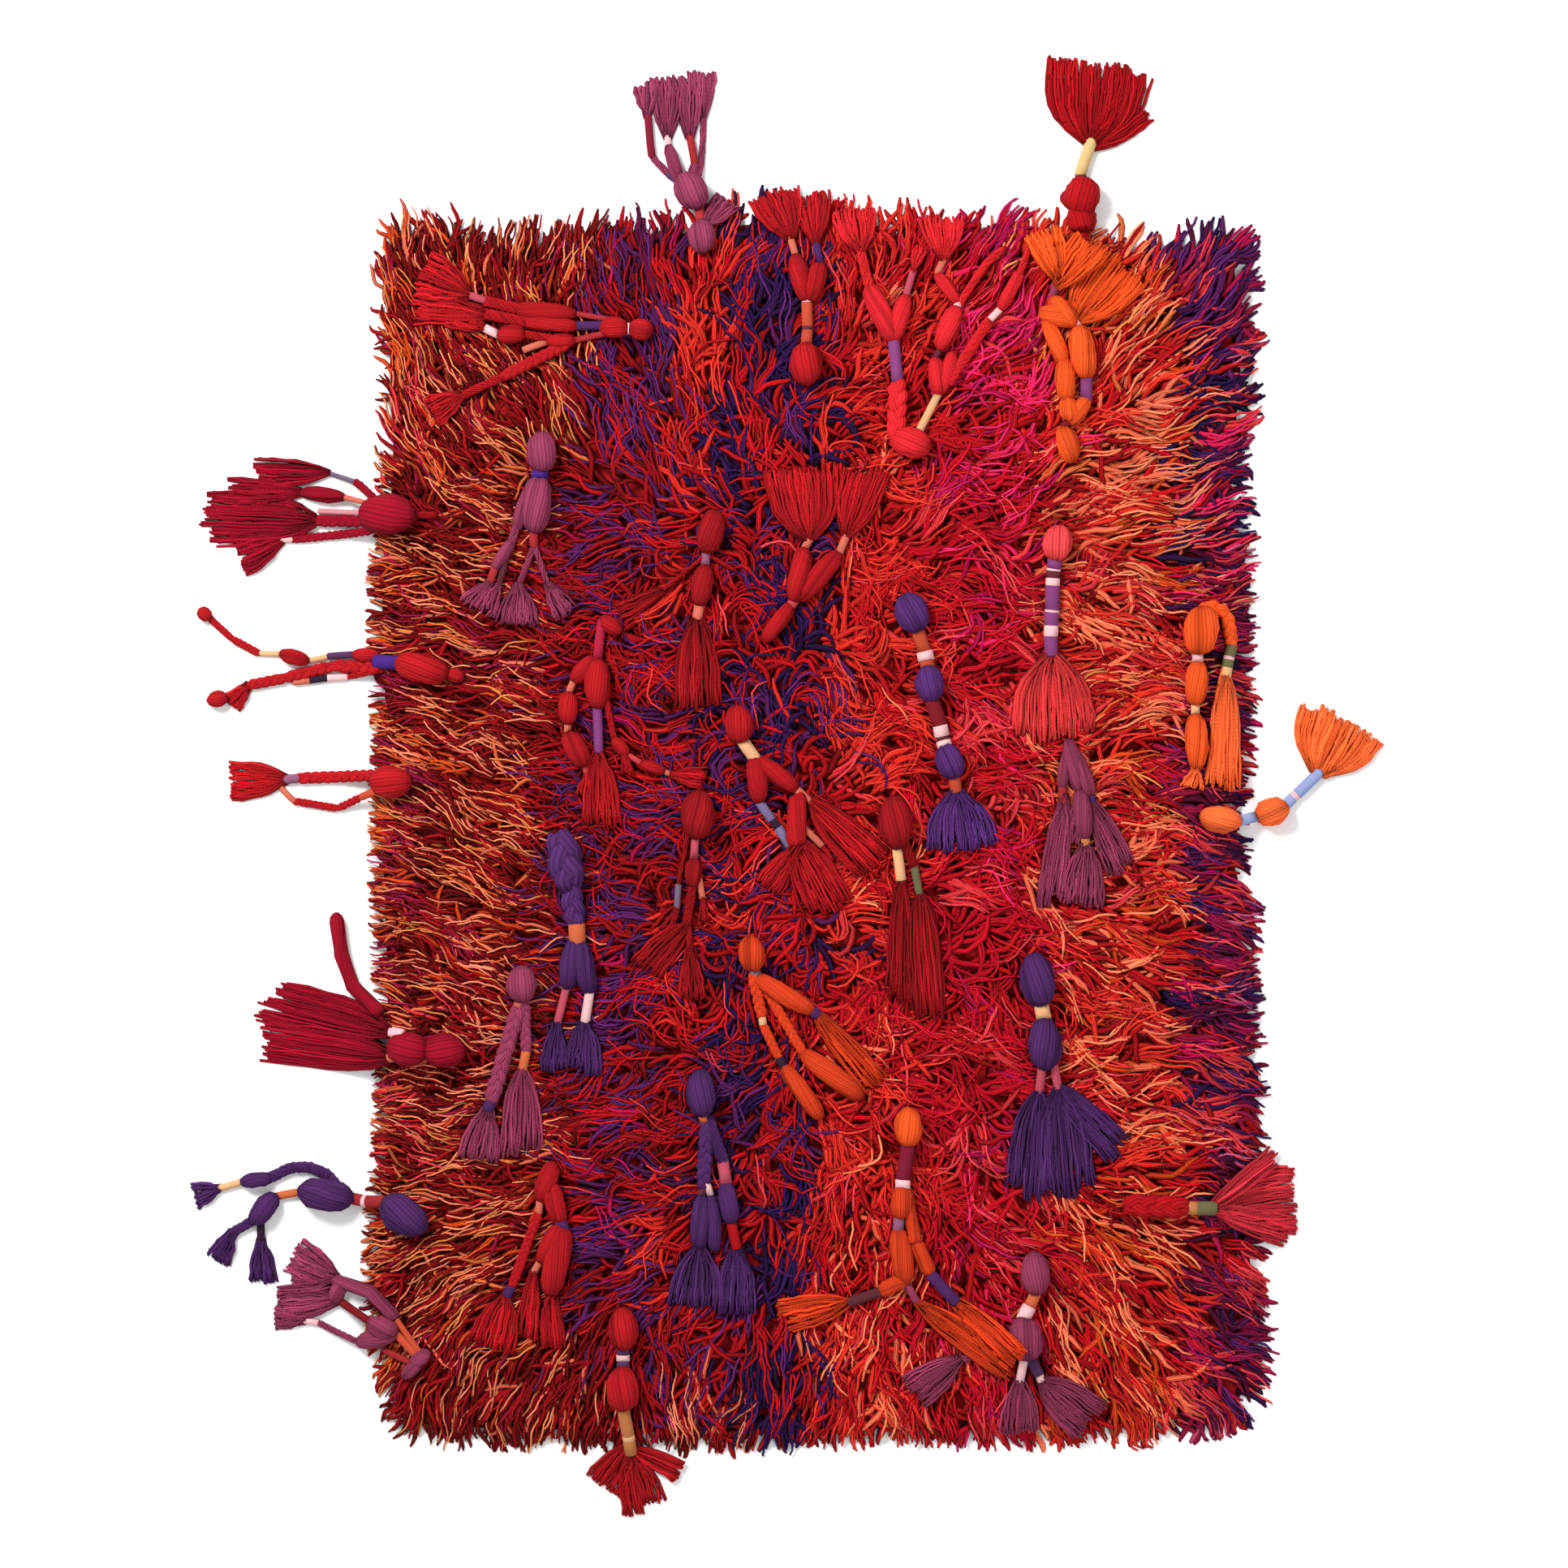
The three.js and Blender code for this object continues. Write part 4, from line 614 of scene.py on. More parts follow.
      wrap(305, 1484, 15, "cream"), wrap(307, 1502, 15, "ochre"), skirt(325, 1580, 56)),
    limb(304, 1494, skirt(270, 1550, 50)),
    limb(308, 1496, skirt(372, 1526, 28)),
  ]),
  Tassel("field_20", "mauve", [
    limb(804, 1255, ball(806, 1302, 38), wrap(798, 1319, 14, "apricot"), wrap(789, 1335, 17, "white"),
      bulb(798, 1382, 40), wrap(810, 1403, 13, "navy"), wrap(813, 1411, 10, "white"),
      skirt(880, 1466, 60)),
    limb(792, 1376, wrap(786, 1411, 10, "white"), skirt(788, 1483, 48)),
    limb(788, 1366, cord(713, 1384, 10), skirt(646, 1434, 50)),
  ]),
  Tassel("field_19", "orange", [
    limb(648, 1077, ball(649, 1118, 35, "orange"), wrap(642, 1163, 17, "plum"),
      wrap(642, 1174, 18, "white"), bulb(638, 1208, 27), wrap(636, 1225, 13, "lilac"),
      bulb(646, 1290, 28),
      wrap(660, 1314, 9, "mauve"), skirt(786, 1405, 34)),
    limb(645, 1170, bulb(657, 1238, 17), cord(676, 1279, 20), wrap(708, 1314, 14, "indigo"),
      skirt(786, 1388, 40)),
    limb(646, 1284, cord(614, 1301, 20), wrap(575, 1314, 12, "umber"), skirt(483, 1336, 42)),
  ]),
]


# Plan and outline
def place_of(u, v):
    """Floor places in the frame's own millimetres for plan places."""
    return np.stack([np.subtract(u, WIDTH / 2), np.subtract(LENGTH / 2, v)], -1)


def out_of(edge, along):
    """How far an edge lies outwards: straight lines between the rows of its table."""
    return np.interp(along, edge.at, edge.out)


def on_ground(u, v):
    """Plan places of points of a straight sided ground once its edges are pulled to the
    outline: each point keeps its share of the way between opposite edges."""
    left, right = -out_of(LEFT_EDGE, v), WIDTH + out_of(RIGHT_EDGE, v)
    top, bottom = -out_of(TOP_EDGE, u), LENGTH + out_of(BOTTOM_EDGE, u)
    return left + (right - left) * u / WIDTH, top + (bottom - top) * v / LENGTH


def chance(k, salt):
    """A repeatable number from 0 to 1: the fraction of a large multiple of a sine."""
    wave = math.sin(k * CHANCE.step + salt * CHANCE.salt) * CHANCE.large
    return wave - math.floor(wave)


def linear(colour):
    """sRGB from 0 to 255 as linear light."""
    part = np.asarray(colour, float) / 255
    return np.where(part <= 0.04045, part / 12.92, ((part + 0.055) / 1.055) ** 2.4)


def smooth(x):
    """From 0 to 1 as x goes from 0 to 1, level at both ends."""
    x = np.clip(x, 0, 1)
    return x * x * (3 - 2 * x)


# Heights over the plan, on a square grid of cells
def blank_grid(value):
    """A height grid that holds one value."""
    rows = math.ceil((LENGTH + 2 * REACH) / CELL)
    columns = math.ceil((WIDTH + 2 * REACH) / CELL)
    return np.full((rows, columns), float(value))


def cell_of(places):
    """Row and column numbers, not yet whole, of floor places."""
    return (
        (places[..., 1] + LENGTH / 2 + REACH) / CELL,
        (places[..., 0] + WIDTH / 2 + REACH) / CELL,
    )


def points_over(node):
    """Points spread over a solid's triangles, closer together than a cell: each is its
    triangle's corners mixed by shares p, q and 1 - p - q from a triangular lattice."""
    mesh = node.data
    mesh.calc_loop_triangles()
    corners = np.empty(len(mesh.loop_triangles) * 3, np.int32)
    mesh.loop_triangles.foreach_get("vertices", corners)
    places = np.empty(len(mesh.vertices) * 3, np.float32)
    mesh.vertices.foreach_get("co", places)
    triangles = places.reshape(-1, 3)[corners.reshape(-1, 3)] / MM
    sides = triangles - np.roll(triangles, 1, axis=1)
    parts = np.ceil(2 * np.linalg.norm(sides, axis=2).max(1) / CELL).astype(int)
    found = []
    for count in np.unique(parts[parts > 0]):
        i, j = np.meshgrid(np.arange(count + 1), np.arange(count + 1))
        inside = i + j <= count
        p, q = i[inside] / count, j[inside] / count
        shares = np.stack([1 - p - q, p, q], -1)
        found.append((shares @ triangles[parts == count]).reshape(-1, 3))
    return np.concatenate(found)


def lay_on(grid, node, keep):
    """Raises the cells under a solid with keep np.maximum, or lowers them with np.minimum."""
    points = points_over(node)
    row, column = (np.floor(part + 0.5).astype(int) for part in cell_of(points))
    keep.at(grid, (row, column), points[:, 2])


def highest_near(grid, places):
    """Highest of the four cells around each floor place."""
    row, column = (np.floor(part).astype(int) for part in cell_of(places))
    return np.max([grid[row + i, column + j] for i in (0, 1) for j in (0, 1)], axis=0)


def mixed_four(table, i, j, p, q):
    """What a table holds at row i + p and column j + q: the four values around, by nearness."""
    near = table[i, j] * (1 - q) + table[i, j + 1] * q
    far = table[i + 1, j] * (1 - q) + table[i + 1, j + 1] * q
    return near * (1 - p) + far * p


def between_cells(grid, places):
    """Height at floor places, mixed from the four cells around."""
    row, column = cell_of(places)
    i, j = np.floor(row).astype(int), np.floor(column).astype(int)
    return mixed_four(grid, i, j, row - i, column - j)


def near_by(grid, reach, join):
    """Each cell as the mean or the least, as `join` says, of those within reach of it, first
    along rows and then along columns."""
    for axis in (0, 1):
        grid = join([np.roll(grid, k, axis) for k in range(-reach, reach + 1)], axis=0)
    return grid


# How a tassel's runs lie, as in the solids
class Line:
    """Stations along a run of yarn: places, ways across, half widths of the foot, depths and
    the heights of their middles."""

    def __init__(self, places, across, half, depth):
        """A line on the floor."""
        self.places, self.across = places, across
        self.half, self.depth = half, depth
        self.heights = np.zeros(len(places))

    def mixed(self, k, share):
        """The line between stations k and k + 1 at shares of the way."""
        other = 1 - share
        across = self.across[k] * other[:, None] + self.across[k + 1] * share[:, None]
        return Line(
            self.places[k] * other[:, None] + self.places[k + 1] * share[:, None],
            across / np.linalg.norm(across, axis=1, keepdims=True),
            self.half[k] * other + self.half[k + 1] * share,
            self.depth[k] * other + self.depth[k + 1] * share,
        )

    def clearance(self, ground):
        """Lowest heights that clear what lies below: the highest ground under the middle and
        both edges of the foot, plus the gap and the depth."""
        feet = [self.places + self.across * (side * self.half)[:, None] for side in (-1, 0, 1)]
        return np.max([highest_near(ground, foot) for foot in feet], axis=0) + GAP + self.depth

    def seat(self, ground, start_height=-math.inf):
        """Sets the heights: clear of what lies below, settled, and no steeper than SLOPE."""
        z = self.clearance(ground)
        z[0] = max(z[0], start_height)
        steps = np.linalg.norm(np.diff(self.places, axis=0), axis=1)
        shares = [np.linspace(0, 1, math.ceil(step / (2 * CELL)) + 1) for step in steps]
        needs = [self.mixed(k, share).clearance(ground) for k, share in enumerate(shares)]
        for k, (share, need) in enumerate(zip(shares, needs)):
            lift_over(z, k, share, need)
        for k in range(len(z)):
            spans = [s for s in (k - 1, k) if 0 <= s < len(steps)]
            room = min(room_below(z, k, s, shares[s], needs[s]) for s in spans)
            lowest = start_height if k == 0 else -math.inf
            z[k] = max(z[k] - max(0, room), lowest)
        for k, step in enumerate(steps):
            z[k + 1] = max(z[k + 1], z[k] - SLOPE * step)
        for k, step in reversed(list(enumerate(steps))):
            z[k] = max(z[k], z[k + 1] - SLOPE * step)
        self.heights = z


def lift_over(z, k, shares, needs):
    """Raises stations k and k + 1 so that the span between them clears what it needs to."""
    for share, need in zip(shares, needs):
        short = need - (z[k] * (1 - share) + z[k + 1] * share)
        if short > 0:
            part = short / (share**2 + (1 - share) ** 2)
            z[k] += part * (1 - share)
            z[k + 1] += part * share


def room_below(z, k, s, shares, needs):
    """How far station k, an end of span s, can come down."""
    own = 1 - shares if k == s else shares
    return np.min((z[s] * (1 - shares) + z[s + 1] * shares - needs) / np.maximum(own, TINY))


def soft(kind):
    """Whether a kind of run swells out."""
    return kind in ("ball", "bulb")


def join_width(*runs):
    """Width where one run meets the next, or where a lone run closes."""
    firm = [one for one in runs if not soft(one.kind)]
    narrowest = min(one.wide for one in firm or runs)
    if firm:
        return narrowest * (1 if len(runs) == 2 else OPEN_END)
    return narrowest * (NECK if len(runs) == 2 else CLOSED_END)


def steps_along(one, length):
    """Steps inside one run: how far along each is, and how wide."""
    if one.kind in SWELL:
        return SWELL[one.kind]
    if one.kind == "braid":
        count = 2 * max(1, math.floor(length / RIDGE.pitch + 0.5)) - 1
        return [((k + 1) / (count + 1), RIDGE.waist if k % 2 else 1) for k in range(count)]
    count = math.ceil(length / max(LONG_STEP, one.wide)) - 1
    return [((k + 1) / (count + 1), 1) for k in range(count)]


def stations_of(start, runs):
    """Plan places and widths of a limb's stations, and which station starts each run."""
    rows, firsts, here = [], [], start
    for k, one in enumerate(runs):
        there = (one.u, one.v)
        firsts.append(len(rows))
        rows.append((*here, join_width(*runs[max(0, k - 1):k + 1])))
        for along, wide in steps_along(one, math.dist(here, there)):
            mid = [a + (b - a) * along for a, b in zip(here, there)]
            rows.append((*mid, wide * one.wide))
        here = there
    rows.append((*here, join_width(runs[-1])))
    return np.array(rows, float), [*firsts, len(rows) - 1]


def line_of(rows):
    """The line through a limb's stations, with the foot of the section that its solid has."""
    half, depth = FOOT["slim" if rows[:, 2].max() < WIDE_BULB else "round"]
    places = place_of(rows[:, 0], rows[:, 1])
    last = len(places) - 1
    before = places[np.maximum(np.arange(last + 1) - 1, 0)]
    after = places[np.minimum(np.arange(last + 1) + 1, last)]
    way = (after - before) / np.linalg.norm(after - before, axis=1, keepdims=True)
    across = np.stack([-way[:, 1], way[:, 0]], -1)
    return Line(places, across, half * rows[:, 2], depth * rows[:, 2])


def lock_lines(root, end, ground):
    """The seated locks of a skirt, and how far along each of their steps is."""
    start, tip = place_of(root["u"], root["v"]), place_of(end.u, end.v)
    length = np.linalg.norm(tip - start)
    way = (tip - start) / length
    across = np.array([-way[1], way[0]])
    count = math.floor(end.wide / SKIRT.lock_wide + 0.5)
    count = int(np.clip(count, SKIRT.fewest, SKIRT.most))
    pitch = end.wide / count
    steps = LOCK_STEPS if length > SKIRT.long else SHORT_STEPS
    lines = []
    for k in range(count):
        aside = k - (count - 1) / 2
        short = SKIRT.uneven * chance(k, end.u) + SKIRT.rounded * abs(aside) / count
        forward = np.array([s.along * length * (1 - (s.along > SKIRT.palm) * short) for s in steps])
        forward[0] = root["ahead"]
        sideways = np.array([pitch * aside * s.spread for s in steps])
        places = start + forward[:, None] * way + sideways[:, None] * across
        half, depth = np.array([(pitch * s.wide / 2, s.tall / 2) for s in steps]).T
        line = Line(places, np.tile(across, (len(steps), 1)), half, depth)
        line.seat(ground, root["z"])
        lines.append(line)
    return lines, [s.along for s in steps]


# Paths
class Path:
    """A limb's middle line in even steps of a millimetre, with its bends rounded: each point
    is the mean of those within BEND of it, and the ends are carried on straight."""

    BEND = 7
    NEAR = 2  # the way ahead is taken between places this far before and after

    def __init__(self, points):
        """A path through points."""
        steps = np.linalg.norm(np.diff(points[:, :2], axis=0), axis=1)
        self.marks = np.concatenate([[0], np.cumsum(steps)])
        self.length = self.marks[-1]
        bend = self.BEND
        self.at = np.arange(-2 * bend, self.length + 2 * bend + 1)
        dense = np.stack([carried_on(self.at, self.marks, points[:, a]) for a in range(3)], -1)
        share = np.hanning(2 * bend + 1)
        share /= share.sum()
        self.points = np.stack([np.convolve(dense[:, a], share, "same") for a in range(3)], -1)

    def place(self, at):
        """Points of the path at distances along it."""
        inside = np.clip(at, self.at[self.BEND], self.at[-1 - self.BEND])
        return np.stack([np.interp(inside, self.at, self.points[:, a]) for a in range(3)], -1)

    def frame(self, at):
        """Points at distances along the path, with the ways level across and up."""
        ahead = unit(self.place(at + self.NEAR) - self.place(at - self.NEAR))
        level = level_across(ahead)
        return self.place(at), level, np.cross(ahead, level)


def carried_on(at, marks, values):
    """Values at distances along, straight between marks and past both ends."""
    inside = np.interp(at, marks, values)
    first = (values[1] - values[0]) / max(marks[1] - marks[0], TINY)
    last = (values[-1] - values[-2]) / max(marks[-1] - marks[-2], TINY)
    return inside + np.minimum(at - marks[0], 0) * first + np.maximum(at - marks[-1], 0) * last


def unit(ways):
    """Ways of length 1."""
    return ways / np.maximum(np.linalg.norm(ways, axis=-1, keepdims=True), TINIEST)


def level_across(ahead):
    """The level way square to each way ahead."""
    aside = np.stack([-ahead[..., 1], ahead[..., 0], np.zeros(ahead.shape[:-1])], -1)
    return unit(aside + np.array([TINY, 0, 0]))


# Yarns as closed tubes
Tubes = namedtuple("Tubes", "points dyes corners sizes around along count cover")


def tubes(centres, radii, dyes, sides=3, squash=1.0, cover=LOOSE, turn=0.0):
    """Closed tubes along paths: at each step a ring of corners stands round the middle line,
    corner k at cos(a) of the radius across and sin(a) up, for a a share k of the full turn
    plus the turn given. Rings that would be in the floor are lifted out of it. Sides join
    each ring to the next, and a flat face closes each end. Radii and dyes are one for each
    ring, or one for each corner."""
    count, steps = centres.shape[:2]
    radii = np.broadcast_to(radii[..., None] if radii.ndim == 2 else radii, (count, steps, sides))
    dyes = np.broadcast_to(dyes[:, :, None] if dyes.ndim == 3 else dyes, (count, steps, sides, 3))
    lowest = squash * radii.max(2) + GROUND.lift
    centres = np.dstack([centres[..., :2], np.maximum(centres[..., 2], lowest)])
    ahead = unit(np.gradient(centres, axis=1))
    level = level_across(ahead)
    up = np.cross(ahead, level)
    a = 2 * np.pi * (np.arange(sides) + 0.5) / sides - np.pi / 2 + np.reshape(turn, (-1, 1))
    ring = level[:, :, None] * np.cos(a)[..., None] + squash * up[:, :, None] * np.sin(a)[..., None]
    points = centres[:, :, None] + radii[..., None] * ring
    corners, sizes, around, step = tube_faces(steps, sides)
    first = np.arange(count)[:, None] * steps * sides
    travelled = np.linalg.norm(np.diff(centres, axis=1), axis=2).cumsum(1)
    travelled = np.concatenate([np.zeros((count, 1)), travelled], 1)
    return Tubes(
        points.reshape(-1, 3),
        dyes.reshape(-1, 3),
        (first + corners).reshape(-1),
        np.tile(sizes, count),
        np.tile(around, (count, 1)).reshape(-1, 2),
        travelled[:, step].reshape(-1),
        count,
        cover,
    )


def tube_faces(steps, sides):
    """Corner numbers of one tube's faces, the faces' sizes, each corner's place on the tube's
    own map (along and round it, from 0 to 1) and its step."""
    ring, step = np.arange(sides), np.arange(steps - 1)[:, None]
    near, beside = step * sides + ring, step * sides + (ring + 1) % sides
    quads = np.stack([near, beside, beside + sides, near + sides], -1).reshape(-1)
    here, there = np.broadcast_to(step, near.shape), np.broadcast_to(step + 1, near.shape)
    quad_steps = np.stack([here, here, there, there], -1).reshape(-1)
    low, high = np.broadcast_to(ring, near.shape), np.broadcast_to(ring + 1, near.shape)
    quad_round = np.stack([low, high, high, low], -1).reshape(-1) / sides
    last = (steps - 1) * sides
    corners = np.concatenate([quads, ring[::-1], last + ring])
    turn = 2 * np.pi * ring / sides
    wide, high = TUBE_MAP.cap
    cap = np.stack([wide * np.cos(turn), 0.5 + high * np.sin(turn)], -1)
    quad_along = TUBE_MAP.start + TUBE_MAP.span * quad_steps / (steps - 1)
    quad_map = np.stack([quad_along, quad_round], -1)
    around = np.concatenate([quad_map, cap + [TUBE_MAP.near, 0], cap + [TUBE_MAP.far, 0]])
    sizes = np.array([4] * (len(quads) // 4) + [sides, sides])
    steps_of = np.concatenate([quad_steps, np.zeros(sides, int), np.full(sides, steps - 1)])
    return corners, sizes, around, steps_of


def make_piece(name, parts, materials):
    """One mesh of many tubes. Each tube has its own square of the piece's map."""
    points = np.concatenate([part.points for part in parts])
    firsts = np.cumsum([0] + [len(part.points) for part in parts[:-1]])
    corners = np.concatenate([part.corners + first for part, first in zip(parts, firsts)])
    sizes = np.concatenate([part.sizes for part in parts])
    mesh = bpy.data.meshes.new(name)
    mesh.vertices.add(len(points))
    mesh.vertices.foreach_set("co", (points * MM).astype(np.float32).reshape(-1))
    mesh.loops.add(len(corners))
    mesh.loops.foreach_set("vertex_index", corners.astype(np.int32))
    mesh.polygons.add(len(sizes))
    mesh.polygons.foreach_set("loop_start", (np.cumsum(sizes) - sizes).astype(np.int32))
    covers = np.concatenate([np.full(len(part.sizes), part.cover) for part in parts])
    mesh.polygons.foreach_set("material_index", covers.astype(np.int32))
    mesh.update(calc_edges=True)
    mesh.shade_smooth()
    lay_map(mesh, "yarn", yarn_map(parts))
    lay_map(mesh, "OFBake", square_map(parts))
    paint_points(mesh, np.concatenate([part.dyes for part in parts]))
    for material in materials:
        mesh.materials.append(material)
    return in_scene(name, mesh)


def in_scene(name, data):
    """An object for data, linked to the scene."""
    made = bpy.data.objects.new(name, data)
    bpy.context.collection.objects.link(made)
    return made


def lay_map(mesh, name, places):
    """Gives a mesh a map with these places for its faces' corners."""
    layer = mesh.uv_layers.new(name=name)
    layer.uv.foreach_set("vector", places.astype(np.float32).reshape(-1))


def yarn_map(parts):
    """A map in which the first number goes round a yarn and the second is the millimetres
    along it."""
    return np.concatenate([np.stack([part.around[:, 1], part.along], -1) for part in parts])


def square_map(parts):
    """A map in which each tube fills its own square of a square board."""
    total = sum(part.count for part in parts)
    board = math.ceil(math.sqrt(total))
    numbers, first = [], 0
    for part in parts:
        each = len(part.along) // part.count
        numbers.append(np.repeat(np.arange(first, first + part.count), each))
        first += part.count
    number = np.concatenate(numbers)
    margin = TUBE_MAP.margin
    own = margin + (1 - 2 * margin) * np.concatenate([part.around for part in parts])
    return (own + np.stack([number % board, number // board], -1)) / board


# Dyes
def shaded(colour, depth, count, steps, rng, spread=STREAK.own):
    """Colours along yarns: each yarn is a little lighter or darker than its dye, and each
    step is as deep in shade as `depth` says."""
    own = 1 + spread * rng.standard_normal((count, 1, 1))
    tilt = 1 + STREAK.tilt * spread * rng.standard_normal((count, 1, 3))
    return np.clip(linear(colour) * own * tilt * depth, 0, 1) * np.ones((count, steps, 1))


# Runs of a tassel
def bundle(path, at, wide, dye, rng):
    """Yarns side by side round a core. Yarn i stands at an angle of i shares of the full
    turn, which twists slowly along the path, at its radius less most of the yarn's own."""
    yarn = min(CORD.radius, CORD.fat * wide.max())
    offset = np.maximum(wide - CORD.inside * yarn, CORD.least * yarn)
    count = round(2 * np.pi * offset.max() / (2 * yarn * CORD.close))
    count = max(CORD.fewest, int(count))
    place, level, up = path.frame(at)
    stray = CORD.stray * rng.uniform(-1, 1, (count, 1))
    turn = 2 * np.pi * (np.arange(count)[:, None] + stray) / count
    angle = turn + 2 * np.pi * (at - at[0]) / CORD.twist + rng.uniform(0, 6)
    off = offset * (1 + CORD.uneven * rng.uniform(-1, 1, (count, 1)))
    off = off - CORD.deep * yarn * rng.uniform(0, 1, (count, 1))
    aside, over = np.cos(angle) * off, SQUASH * np.sin(angle) * off
    centres = place + aside[..., None] * level + over[..., None] * up
    thick = yarn * rng.uniform(*CORD.thick, (count, 1))
    thick = thick * np.clip(wide / (CORD.fine * yarn), CORD.finest, 1)
    depth = np.clip(CORD.tone[0] + CORD.tone[1] * wide / wide.max(), 0, 1)
    found = [tubes(centres, thick, shaded(dye, depth[:, None], count, len(at), rng))]
    # The core is darkened as painted shade between the yarns.
    if offset.max() > CORD.hollow * yarn:
        core = np.maximum(wide - CORD.core * yarn, CORD.thinnest)[None]
        dark = shaded(dye, CORD.dark, 1, len(at), rng, CORD.streak)
        found.append(tubes(place[None], core, dark, CORD.sides, SQUASH))
    return found


def skein(path, at, wide, dye, rng):
    """Yarn gathered into one soft body: a closed tube whose corners stand in and out by turns,
    a ridge and a groove to each yarn, and that has a few creases. A crease takes the radius in
    by a narrow hump round its own angle. Grooves, creases and the narrowing ends are painted
    darker, as shade."""
    sides = SKEIN.sides
    corner = np.arange(sides)
    fold = rng.uniform(0, 2 * np.pi, (SKEIN.creases, 1))
    off = np.angle(np.exp(1j * (2 * np.pi * corner / sides - fold))) / SKEIN.narrow
    deep = rng.uniform(*SKEIN.deep, (SKEIN.creases, 1))
    crease = (deep * np.exp(-(off**2))).sum(0)
    uneven = 1 + SKEIN.uneven * rng.standard_normal((len(at), sides))
    groove = SKEIN.ripple * (corner % 2)
    radii = wide[:, None] * (uneven - SKEIN.crease * crease)
    radii = radii - groove * (wide / wide.max())[:, None]
    # Painted shade: darker in the grooves, in the creases and towards the narrowing ends
    tone = np.where(corner % 2, SKEIN.valley, 1) * (1 - SKEIN.dark * crease.clip(0, 1))
    tone = tone * (1 + SKEIN.streak * rng.standard_normal(sides))
    ends, middle, most = SKEIN.tone
    depth = np.clip(ends + middle * wide / wide.max(), 0, most)
    colours = linear(dye) * (depth[:, None] * tone)[..., None]
    turn = rng.uniform(0, 6) + 2 * np.pi * (at - at[0]) / SKEIN.twist * rng.choice([-1, 1])
    place = path.place(at)[None]
    return [tubes(place, radii[None], np.clip(colours, 0, 1)[None], sides, SQUASH, GATHERED, turn)]


def swelling(path, one, start, end, near, far, dye, rng):
    """A ball or a bulb: gathered yarn that swells out between its two necks. At a share s of
    its length its swelling is the root power of 1 less the first power of |2s - 1|."""
    s = SWELLING_AT
    power, root = ARCH[one.kind]
    neck = near + (far - near) * s
    wide = neck / 2 + (one.wide / 2 - neck / 2) * (1 - np.abs(2 * s - 1) ** power) ** root
    at = start + (end - start) * s
    at[0] -= CORD.past
    at[-1] += CORD.past
    return skein(path, at, wide, dye, rng)


def strand_cord(path, one, start, end, dye, rng, last):
    """A cord: well twisted yarns of an even radius. A wide one is gathered yarn, and one that
    ends its limb is drawn in at its tip."""
    if one.wide > HEAD.wide:
        count = max(2, math.ceil((end - start) / HEAD.step))
        inner = np.linspace(start + HEAD.end, end - HEAD.end, count)
        at = np.concatenate([np.add(start, HEAD.at[0]), inner, np.add(end, HEAD.at[1])])
        wide = np.concatenate([HEAD.ends[0], np.ones(count), HEAD.ends[1]]) * one.wide / 2
        return skein(path, at, wide, dye, rng)
    count = max(3, math.ceil((end - start) / CORD.step) + 1)
    at = np.linspace(start - CORD.past, end + CORD.past, count)
    wide = np.full(count, one.wide / 2)
    if last:
        wide = wide * np.interp(at, [end - CORD.end, end + CORD.past], [1, CORD.tip])
    return bundle(path, at, wide, dye, rng)


def winding(path, start, end, wide, dye, rng):
    """A tight winding of thread: a tube that is rounded over at both ends."""
    start, end = start - WINDING.past, end + WINDING.past
    count = max(2, math.ceil((end - start) / WINDING.step) + 1)
    inner = np.linspace(start + WINDING.flat, end - WINDING.flat, count)
    edge = WINDING.edge
    at = np.concatenate([[start, start + edge], inner, [end - edge, end]])
    near, far = WINDING.ends
    radius = np.concatenate([near, np.ones(count), far]) * (wide / 2 + WINDING.proud)
    colour = shaded(DYES[dye], 1, 1, len(at), rng, WINDING.streak)
    place = path.place(at)[None]
    return [tubes(place, radius[None], colour, WINDING.sides, SQUASH, THREAD)]


def plait(path, one, start, end, dye, rng):
    """Three strands that change places: each sways across by a sine of the way along and up
    and down by a sine twice as quick, a third of a turn after the one before."""
    period = PLAIT.period * one.wide
    at = np.linspace(start - 1, end + 1, math.ceil(PLAIT.steps * (end - start) / period) + 2)
    place, level, up = path.frame(at)
    ends = np.minimum(at - start, end - at) / (PLAIT.drawn * one.wide) + PLAIT.end
    ends = np.clip(ends, PLAIT.end, 1)
    found = []
    for k in range(3):
        phase = 2 * np.pi * ((at - start) / period + k / 3)
        aside = PLAIT.aside * one.wide * ends * np.sin(phase)
        over = PLAIT.over * one.wide * ends * np.sin(2 * phase)
        middle = place + aside[:, None] * level + over[:, None] * up
        radius = 1 + PLAIT.uneven * rng.standard_normal((1, len(middle)))
        colour = shaded(dye, 1, 1, len(middle), rng, PLAIT.streak)
        radius = PLAIT.strand * one.wide * radius
        found.append(tubes(middle[None], radius, colour, PLAIT.sides, cover=PLAITED))
    return found


